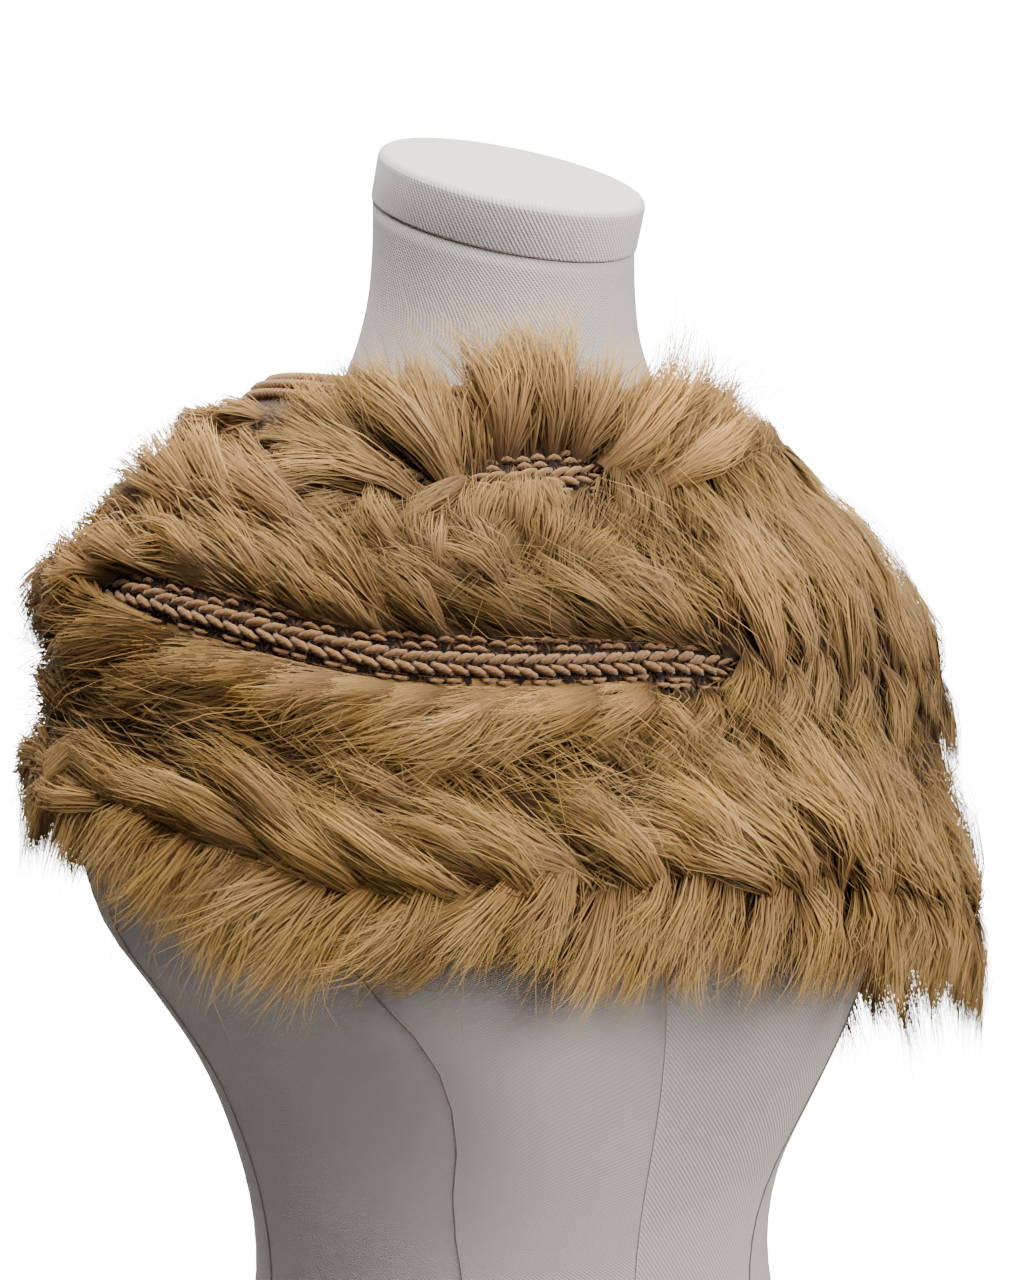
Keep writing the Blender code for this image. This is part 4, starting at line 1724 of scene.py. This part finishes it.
    def clump_hairs(self, locks: Locks, clumps: int, hairs: int, rng: Rng,
                    loose: float = 1.0, part: bool = True) -> list[Strands]:
        """Hairs in pointed clumps, several clumps to a lock.

        Args:
            locks: where the locks are and how they run.
            clumps: clumps in each lock.
            hairs: hairs in each clump.
            rng: source of every difference.
            loose: how untidy the clumps are.
            part: whether the hairs leave the braid bare where it shows.

        Returns:
            The hairs of each layer.
        """
        shape = self.clump
        count = len(locks.azimuth)
        curl = rng.normal(0, 1, (3, count))
        clump_lock = np.repeat(np.arange(count), clumps)
        clump_across = (np.tile(np.linspace(-1, 1, clumps), count)
                        + rng.normal(0, shape.place, len(clump_lock)))
        clump = rng.normal(0, 1, (5, len(clump_lock)))
        clump_depth = rng.uniform(0, 1, len(clump_lock))
        strands = []
        for layer in shape.layers:
            of = np.repeat(np.arange(len(clump_lock)), round(hairs * layer.share))
            lock = clump_lock[of]
            total = len(of)
            share = np.linspace(0, 1, self.points - layer.fewer_points)[None]
            depth = (shape.same_depth * clump_depth[of]
                     + (1 - shape.same_depth) * rng.uniform(0, 1, total))
            depth = (layer.low + (layer.high - layer.low) * depth)[:, None]
            own = rng.normal(0, 1, (4, total, 1))
            angle = (locks.root[lock][:, None]
                     + (locks.tip - locks.root)[lock][:, None] * smooth_step(share)
                     + shape.clump_turn * loose * clump[0, of][:, None]
                     + shape.clump_bend * loose * clump[1, of][:, None] * share
                     + shape.hair_turn * own[0] + shape.hair_bend * own[1] * share ** 2
                     + shape.curl * curl[0, lock][:, None]
                     * np.sin(TURN * shape.curl_turns * share))
            across = clump_across[of][:, None]
            side = (across * locks.half[lock][:, None] * shape.fan(share, loose)
                    + own[2] * shape.gathered(share))
            length = (locks.length[lock] * (1 + shape.clump_length * clump[2, of])
                      * rng.uniform(*shape.hair_length, total)
                      * (shape.deep_length + (1 - shape.deep_length) * depth[:, 0]))
            length = (length * (1 - shape.side_length * across[:, 0] ** 2))[:, None]
            start = locks.start[lock][:, None] + shape.root_place * own[3]
            azimuth, along = self.sweep(locks.azimuth[lock][:, None], start, angle, length, side,
                                        part)
            dome = 1 - shape.dome * np.clip(across, -shape.dome_edge, shape.dome_edge) ** 2
            height = ((shape.low_height + (1 - shape.low_height) * depth) * dome
                      * (1 + shape.clump_height * clump[3, of][:, None]))
            height = (height * locks.rise[lock][:, None]
                      + shape.hair_height * own[1] * share)
            near = np.exp(-np.maximum(start, 0) / shape.buried_reach)
            buried = (1 - showing(self.row, azimuth[:, :1])) * near
            base = shape.root_height + shape.buried_height * buried
            droop = (self.droop + shape.lock_droop * curl[1, lock][:, None]
                     + shape.clump_droop * clump[4, of][:, None])
            out, high = self.rise(azimuth, along, share, base, height, droop, part)
            # Besides its own random tone, a hair takes painted shade where its lock is low and
            # painted light where it is high
            tone = (0.5 + shape.lock_tone * curl[2, lock] + shape.clump_tone * clump[3, of]
                    + np.minimum(shape.painted_shade_low * (locks.rise[lock] - LOW_RISE), 0)
                    + np.maximum(shape.painted_light_high * (locks.rise[lock] - HIGH_RISE), 0)
                    + rng.normal(0, shape.hair_tone, total))
            width = self.hair_width * rng.uniform(*shape.width, total)
            tilt = shape.side_tilt * across[:, 0] + shape.hair_tilt * own[2, :, 0]
            pale = shape.pale + shape.buried_pale * buried[:, 0]
            strands.append(Strands(azimuth, along, out, high, width,
                                   np.clip(tone, *TONE_RANGE), tilt, pale))
        return strands

    def single_path(self, kind: HairKind, azimuth: Array, start: Array, share: Array,
                    rng: Rng) -> tuple[Array, Array, Array]:
        """Paths of hairs that belong to no clump.

        Args:
            kind: how far they stray from the flow.
            azimuth: azimuth of each root.
            start: how far from the row each root is, in millimetres.
            share: share of the length at each point.
            rng: source of every difference.

        Returns:
            Azimuth and length along the wall at each point, and the rise of each hair.
        """
        root, tip, length, rise = self.flow_at(azimuth)
        angle = root + (tip - root) * share + rng.normal(0, kind.turn, azimuth.shape)
        angle = angle + rng.normal(0, kind.bend, azimuth.shape) * share ** kind.bend_power
        length = length * rng.uniform(*kind.length, azimuth.shape)
        return *self.sweep(azimuth, start, angle, length, 0 * share), rise

    def under_hairs(self, rng: Rng, inside: float = 2.4, reach: float = 1.15,
                    power: float = 1.5, covered: float = 3.5,
                    width: Pair = (1.2, 2.2)) -> Strands:
        """Short darker hairs close to the knit.

        Args:
            rng: source of every difference.
            inside: from an eyelet that shows to the first roots, in millimetres.
            reach: where the last roots are, over the depth of the roots.
            power: how much lower they are where the flow is low.
            covered: how much higher the roots are over a covered braid.
            width: narrowest and widest over the usual width.

        Returns:
            The hairs.
        """
        kind, total = self.under, self.under_count
        azimuth = rng.uniform(0, TURN, (total, 1))
        shown = showing(self.row, azimuth)
        first = (self.eyelet + inside) * shown - self.crossing * (1 - shown)
        start = first + rng.uniform(0, 1, (total, 1)) * (self.depth(azimuth) * reach - first)
        share = np.linspace(0, 1, self.points - 2)[None]
        azimuth, along, rise = self.single_path(kind, azimuth, start, share, rng)
        height = rise ** power * rng.uniform(*kind.height, (total, 1))
        base = kind.base + covered * (1 - shown) + 0 * share
        out, high = self.rise(azimuth, along, share, base, height, self.droop)
        tone = np.clip(rng.normal(*kind.tone, total), *TONE_RANGE)
        widths = self.hair_width * rng.uniform(*width, total)
        tilt = rng.normal(0, kind.tilt, total)
        return Strands(azimuth, along, out, high, widths, tone, tilt, kind.pale)

    def stray_hairs(self, rng: Rng, reach: Pair = (-0.3, 0.8), width: float = 0.55) -> Strands:
        """Fine hairs that leave the locks.

        Args:
            rng: source of every difference.
            reach: first and last root, over the depth of the roots.
            width: width over the usual width.

        Returns:
            The hairs.
        """
        total = self.strays
        azimuth = rng.uniform(0, TURN, (total, 1))
        shown = showing(self.row, azimuth)
        start = self.eyelet * shown + rng.uniform(*reach, (total, 1)) * self.depth(azimuth)
        share = np.linspace(0, 1, self.points)[None]
        azimuth, along, rise = self.single_path(STRAY, azimuth, start, share, rng)
        height = rise * rng.uniform(*STRAY.height, (total, 1))
        out, high = self.rise(azimuth, along, share, STRAY.base + 0 * share, height, self.droop)
        # Strays where the flow is low get painted shade
        tone = rng.normal(*STRAY.tone, total) + np.minimum(rise[:, 0] - LOW_RISE, 0)
        tilt = rng.normal(0, STRAY.tilt, total)
        return Strands(azimuth, along, out, high, np.full(total, self.hair_width * width),
                       np.clip(tone, *TONE_RANGE), tilt, STRAY.pale)

    def root_hairs(self, rng: Rng, length: Pair = (1.2, 2.6),
                   height: Pair = (1.9, 1.0), width: float = 1.1,
                   tone: float = 0.3, shade: float = 0.05) -> Strands:
        """The dark roots that fill each eyelet that shows, darkened further as painted shade in
        the hole.

        Args:
            rng: source of every difference.
            length: shortest and longest, in millimetres.
            height: height of the roots over the wall, and the most that a tip adds.
            width: width in millimetres.
            tone: tone of every root.
            shade: how far along the colours of a hair they reach.

        Returns:
            The hairs.
        """
        holes = self.surface.eyelet_azimuths(self.row, self.way)
        holes = np.repeat(holes[showing(self.row, holes) > 0], self.roots)[:, None]
        total = len(holes)
        share = np.linspace(0, 1, 3)[None]
        angle = rng.uniform(0, TURN, (total, 1)) + 0 * share
        lengths = rng.uniform(*length, (total, 1))
        azimuth, along = self.sweep(holes, self.eyelet + 0 * lengths, angle, lengths, 0 * share,
                                    part=False)
        out = height[0] + rng.uniform(0, height[1], (total, 1)) * share
        # Their depth is set at the bottom of the pile, which paints shade in the eyelet
        return Strands(azimuth, along, out, 0 * out, np.full(total, width),
                       np.full(total, tone), np.zeros(total), 0.0, shade)

    def undercoat(self, parts: MeshParts) -> None:
        """Add the dense coat between the knit and the hairs, as one closed skin, dark with the
        roots' colour and painted shade.

        Args:
            parts: where the coat goes.
        """
        coat = self.coat
        azimuth = np.arange(coat.columns)[None] / coat.columns * TURN
        share = np.linspace(0, 1, coat.rows)[:, None]
        shown = showing(self.row, azimuth)
        first = shown * (self.bare_half + coat.gap)
        ahead = first + share * (self.depth(azimuth) * coat.reach - first)
        along = self.surface.ring(self.row, azimuth) + self.way.value * ahead
        lumps = 1 + coat.lumps * np.cos(
            self.surface.eyelets(self.row) * azimuth + coat.slant * share)
        profile = smooth_step(coat.first + share / coat.full) * (1 - coat.taper * share) * lumps
        height = coat.height * smooth_ring(self.pile, azimuth)
        height = height * np.minimum(self.flow_at(azimuth)[3], 1.0)
        height = height * (1 - coat.shown * shown * (1 - coat.back * share))
        inside, outside = coat.skins
        outer, away = self.surface.point(azimuth, along, outside + height * profile)
        inner, _ = self.surface.point(azimuth, along, inside)
        rows = np.concatenate([outer, inner[::-1], outer[:1]])
        corners, _ = grid_faces(len(rows), coat.columns)
        total = 2 * coat.rows * coat.columns
        corners = corners % total
        if self.way is Way.DOWN:
            corners = corners[:, ::-1]
        place, tone, high = (np.full(total, value) for value in coat.colour)
        parts.add(rows[:-1].reshape(-1, 3), [corners],
                  normals=np.concatenate([away, -away]).reshape(-1, 3),
                  along=place, tone=tone, high=high)

    def blades(self, parts: MeshParts, hairs: Strands, rng: Rng) -> None:
        """Turn paths into tapering blades.

        Args:
            parts: where the blades go.
            hairs: the paths.
            rng: source of each blade's turn.
        """
        shape = self.blade
        centres, away = self.surface.point(hairs.azimuth, hairs.along, hairs.out)
        total, count = centres.shape[:2]
        share = np.linspace(0, 1, count)
        ahead = unit(np.gradient(centres, axis=1))
        level = unit(np.cross(ahead, away))
        up = np.cross(level, ahead)
        to_front = FRONT - (ahead @ FRONT)[..., None] * ahead
        lean = shape.lean * smooth_step(0.5 + (up @ FRONT)[..., None] / shape.lean_over)
        across = unit(np.cross(ahead, up + lean * to_front))
        turn = (rng.normal(0, shape.turn, (total, 1, 1))
                + rng.normal(0, shape.twist, (total, 1, 1)) * share[None, :, None])
        across = across * np.cos(turn) + np.cross(across, ahead) * np.sin(turn)
        taper = np.minimum(1.0, shape.root_width + share) * (1 - share ** shape.taper_power)
        half = across * (hairs.width[:, None] * taper[None] * MM / 2)[..., None]
        sides = np.stack([(centres - half)[:, :-1], (centres + half)[:, :-1]], 2)
        points = np.concatenate([sides.reshape(total, -1, 3), centres[:, -1:]], axis=1)
        each = points.shape[1]
        step = np.arange(count - 2) * 2
        quads = np.stack([step, step + 1, step + 3, step + 2], -1)
        tips = np.array([[each - 3, each - 2, each - 1]])
        offset = (np.arange(total) * each)[:, None, None]
        places = np.concatenate([np.repeat(share[:-1], 2), share[-1:]])
        first = np.broadcast_to(hairs.pale, total)[:, None]
        colour_at = (first + (1 - first) * places[None]) * hairs.shade
        lateral = level * -self.way.value * hairs.tilt[:, None, None]
        lit = unit(shape.lit_by_wall * away + shape.lit_by_blade * up + lateral)
        uv = np.stack([np.tile([0.0, 1.0], count)[:each], places], -1)
        uvs = [np.broadcast_to(uv[faces][None], (total, *faces.shape, 2))
               for faces in (quads, tips)]
        # Painted light: the wearer's right side paler and the left darker
        to_left = np.sin(hairs.azimuth[:, 0])
        tone = hairs.tone - shape.painted_light_right * to_left * np.abs(to_left)
        parts.add(points.reshape(-1, 3),
                  [(faces[None] + offset).reshape(-1, faces.shape[1]) for faces in (quads, tips)],
                  [uvs[0].reshape(-1, 4, 2), uvs[1].reshape(-1, 3, 2)],
                  self.doubled(lit).reshape(-1, 3), along=colour_at.ravel(),
                  tone=np.repeat(tone, each), high=self.doubled(hairs.high).ravel())

    @staticmethod
    def doubled(values: Array) -> Array:
        """A value for both sides of a blade at each point, and one for its tip."""
        return np.concatenate([np.repeat(values[:, :-1], 2, axis=1), values[:, -1:]], 1)

    def build(self, tuft_looseness: float = 1.5, finer: int = 6) -> None:
        """Grow the band as one piece.

        Args:
            tuft_looseness: how untidy the clumps of the large locks are.
            finer: hairs more in a clump of a large lock, and fewer in one of a loose lock.
        """
        rng = np.random.default_rng(self.seed)
        groups = self.clump_hairs(self.row_locks(rng), self.clumps, self.hairs, rng)
        groups += self.clump_hairs(self.loose_locks(rng), self.clumps - 1, self.hairs - finer, rng)
        if self.tufts:
            groups += self.clump_hairs(self.tuft_locks(), self.clumps, self.hairs + finer, rng,
                                       tuft_looseness, part=False)
        groups += [self.under_hairs(rng), self.stray_hairs(rng), self.root_hairs(rng)]
        parts = MeshParts()
        self.undercoat(parts)
        for hairs in groups:
            if len(hairs.width):
                self.blades(parts, hairs, rng)
        piece = parts.build(f"{self.name}_hair")
        dress(piece, bpy.data.materials.get(FUR.name) or FUR.build(), "fur", self.name)


# ---- studio
@dataclass(frozen=True)
class SoftLight:
    """A square soft light that looks at the wrap."""

    name: str
    place: Triple
    size: float
    power: float
    colour: Colour = (1.0, 1.0, 1.0)

    def build(self, target: Vector) -> None:
        """Place the light.

        Args:
            target: the point that it faces.
        """
        data = bpy.data.lights.new(self.name, "AREA")
        data.shape = "SQUARE"
        data.size = self.size
        data.energy = self.power
        data.color = self.colour
        lamp = bpy.data.objects.new(self.name, data)
        lamp.location = self.place
        lamp.rotation_mode = "QUATERNION"
        lamp.rotation_quaternion = (target - Vector(self.place)).to_track_quat("-Z", "Y")
        bpy.context.scene.collection.objects.link(lamp)


@dataclass
class Studio:
    """Camera, lights, backdrop light and floor, in metres and degrees."""

    azimuth: float = 30.8
    pitch: float = 3.7
    roll: float = -0.5
    distance: float = 0.962  # from the form's axis to the camera
    height: float = 0.551
    sidestep: float = 0.002  # how far the camera moves to its own right
    focal: float = 2210.0
    image_height: float = 1280.0
    sensor: float = 36.0
    nearest: float = 0.01
    floor_radius: float = 0.36
    floor_corners: int = 96
    floor_gap: float = 0.0005
    fill_colour: Colour = (0.88, 0.91, 1.0)
    # Directions, from -1 down to 1 up, where the fill starts and ends to grow
    fill_heights: Pair = (-0.3, 0.8)
    fill: Pair = (0.0, 0.19)  # its strength at those
    backdrop: float = 24.0  # strength of the white that the camera sees
    target: Triple = (0.0, 0.0, 0.48)
    lights: tuple[SoftLight, ...] = (
        SoftLight("key_light", (0.98, -1.42, 1.45), 1.0, 53.0, (1.0, 0.98, 0.95)),
        SoftLight("front_light", (0.1, -1.9, 0.9), 1.2, 14.0),
        SoftLight("top_light", (-0.1, -0.2, 1.9), 0.9, 32.0),
        SoftLight("left_light", (-0.6, -0.5, 2.0), 0.7, 26.0),
        SoftLight("back_light", (-0.2, 1.9, 1.1), 1.3, 30.0))

    def axes(self) -> tuple[Vector, Vector, Vector]:
        """Work out how the camera is turned.

        Returns:
            Its right, up and forward directions.
        """
        a, p, r = (math.radians(v) for v in (self.azimuth, self.pitch, self.roll))
        ahead = Vector((math.sin(a) * math.cos(p), math.cos(a) * math.cos(p), -math.sin(p)))
        level = Vector((math.cos(a), -math.sin(a), 0.0))
        up = level.cross(ahead)
        right = level * math.cos(r) + up * math.sin(r)
        return right, up * math.cos(r) - level * math.sin(r), ahead

    def camera(self) -> None:
        """Place the camera and make it the scene's own."""
        right, up, ahead = self.axes()
        a = math.radians(self.azimuth)
        data = bpy.data.cameras.new("camera")
        data.sensor_width = self.sensor
        data.lens = self.focal * self.sensor / self.image_height
        data.clip_start = self.nearest
        made = bpy.data.objects.new("camera", data)
        turn = Matrix((right, up, -ahead)).transposed().to_4x4()
        place = Vector((-math.sin(a) * self.distance, -math.cos(a) * self.distance, self.height))
        made.matrix_world = Matrix.Translation(place + right * self.sidestep) @ turn
        bpy.context.scene.collection.objects.link(made)
        bpy.context.scene.camera = made

    def world(self) -> None:
        """White behind the object, and an even fill from all round."""
        world = bpy.data.worlds.new("studio")
        bpy.context.scene.world = world
        world.use_nodes = True
        tree = world.node_tree
        fill = tree.nodes["Background"]
        fill.inputs["Color"].default_value = (*self.fill_colour, 1.0)
        split = tree.nodes.new("ShaderNodeSeparateXYZ")
        rise = tree.nodes.new("ShaderNodeMapRange")
        tree.links.new(tree.nodes.new("ShaderNodeTexCoord").outputs["Generated"], split.inputs[0])
        tree.links.new(split.outputs["Z"], rise.inputs["Value"])
        for name, value in zip(("From Min", "From Max", "To Min", "To Max"),
                               self.fill_heights + self.fill):
            rise.inputs[name].default_value = value
        tree.links.new(rise.outputs[0], fill.inputs["Strength"])
        white = tree.nodes.new("ShaderNodeBackground")
        white.inputs["Strength"].default_value = self.backdrop
        seen = tree.nodes.new("ShaderNodeLightPath")
        mix = tree.nodes.new("ShaderNodeMixShader")
        tree.links.new(seen.outputs["Is Camera Ray"], mix.inputs[0])
        tree.links.new(fill.outputs[0], mix.inputs[1])
        tree.links.new(white.outputs[0], mix.inputs[2])
        tree.links.new(mix.outputs[0], tree.nodes["World Output"].inputs[0])

    def floor(self) -> None:
        """Lay a large pale floor under the form's base."""
        parts = MeshParts()
        corners = np.arange(self.floor_corners)
        turn = corners / self.floor_corners * TURN
        rim = np.stack([np.sin(turn), np.cos(turn), 0 * turn], -1) * self.floor_radius
        parts.add(rim, [corners[::-1][None]])
        made = parts.build("floor")
        made.location.z = -self.floor_gap
        made.data.materials.append(FloorFinish().build())
        made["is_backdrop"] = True

    def build(self) -> None:
        """Set the whole stage."""
        self.camera()
        self.world()
        self.floor()
        for light in self.lights:
            light.build(Vector(self.target))


def bands(surface: WrapSurface) -> list[FurBand]:
    """The six bands of fur, from the neck to the hem.

    Args:
        surface: the wall that they lie on.

    Returns:
        The bands, not yet grown.
    """
    return [
        FurBand(surface, "fur_neck", "neck_row", Way.UP, "top", 0.5, NECK_FLOW, NECK_PILE, 11,
                0.12, NECK_TUFTS, loose=70, lock_half=8.6, coat=CoatShape(height=0.15)),
        FurBand(surface, "fur_shoulder_upper", "neck_row", Way.DOWN, "upper", 1.0,
                SHOULDER_DOWN_FLOW, BODY_PILE, 12, tufts=SHOULDER_TUFTS, under_count=4600,
                under=UNDER._replace(height=(0.1, 0.7))),
        FurBand(surface, "fur_shoulder_lower", "row_1", Way.UP, "upper", 1.0, SHOULDER_UP_FLOW,
                BODY_PILE, 13, under_count=4600, under=UNDER._replace(height=(0.1, 0.65))),
        FurBand(surface, "fur_chest_upper", "row_1", Way.DOWN, "lower", 1.0, CHEST_DOWN_FLOW,
                BODY_PILE, 14, under_count=4000, under=UNDER._replace(height=(0.1, 0.6))),
        FurBand(surface, "fur_chest_lower", "row_2", Way.UP, "lower", 1.0, CHEST_UP_FLOW,
                BODY_PILE, 15, lock_half=6.0, under_count=4000,
                under=UNDER._replace(height=(0.1, 0.6))),
        FurBand(surface, "fur_hem", "row_2", Way.DOWN, "edge", 1.0, HEM_FLOW, HEM_PILE, 16, 0.5,
                lock_half=5.0, under_count=4600, under=UNDER._replace(length=(0.4, 0.8)),
                coat=CoatShape(reach=2.1, taper=0.75)),
    ]


def main() -> None:
    """Build every piece in order and note the sizes."""
    logging.basicConfig(level=logging.INFO, format="%(name)s: %(message)s")
    Studio().build()
    surface = WrapSurface()
    DressForm().build()
    KnitTube(surface).build()
    NeckRib(surface).build()
    Braid(surface, "braid_neck_yarn", "neck_row", "braid_neck", 2, rings=5, crown=1.6).build()
    Braid(surface, "braid_shoulder_yarn", "row_1", "braid_shoulder", 3).build()
    Braid(surface, "braid_lower_yarn", "row_2", "braid_lower", 4, rings=4, sides=4,
          thickness=1.4, crown=1.2).build()
    for band in bands(surface):
        band.build()
    meshes = [piece.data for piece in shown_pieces() if piece.type == "MESH"]
    triangles = sum(len(mesh.loops) - 2 * len(mesh.polygons) for mesh in meshes)
    LOG.info("%d triangles in all", triangles)


if __name__ == "__main__":
    main()
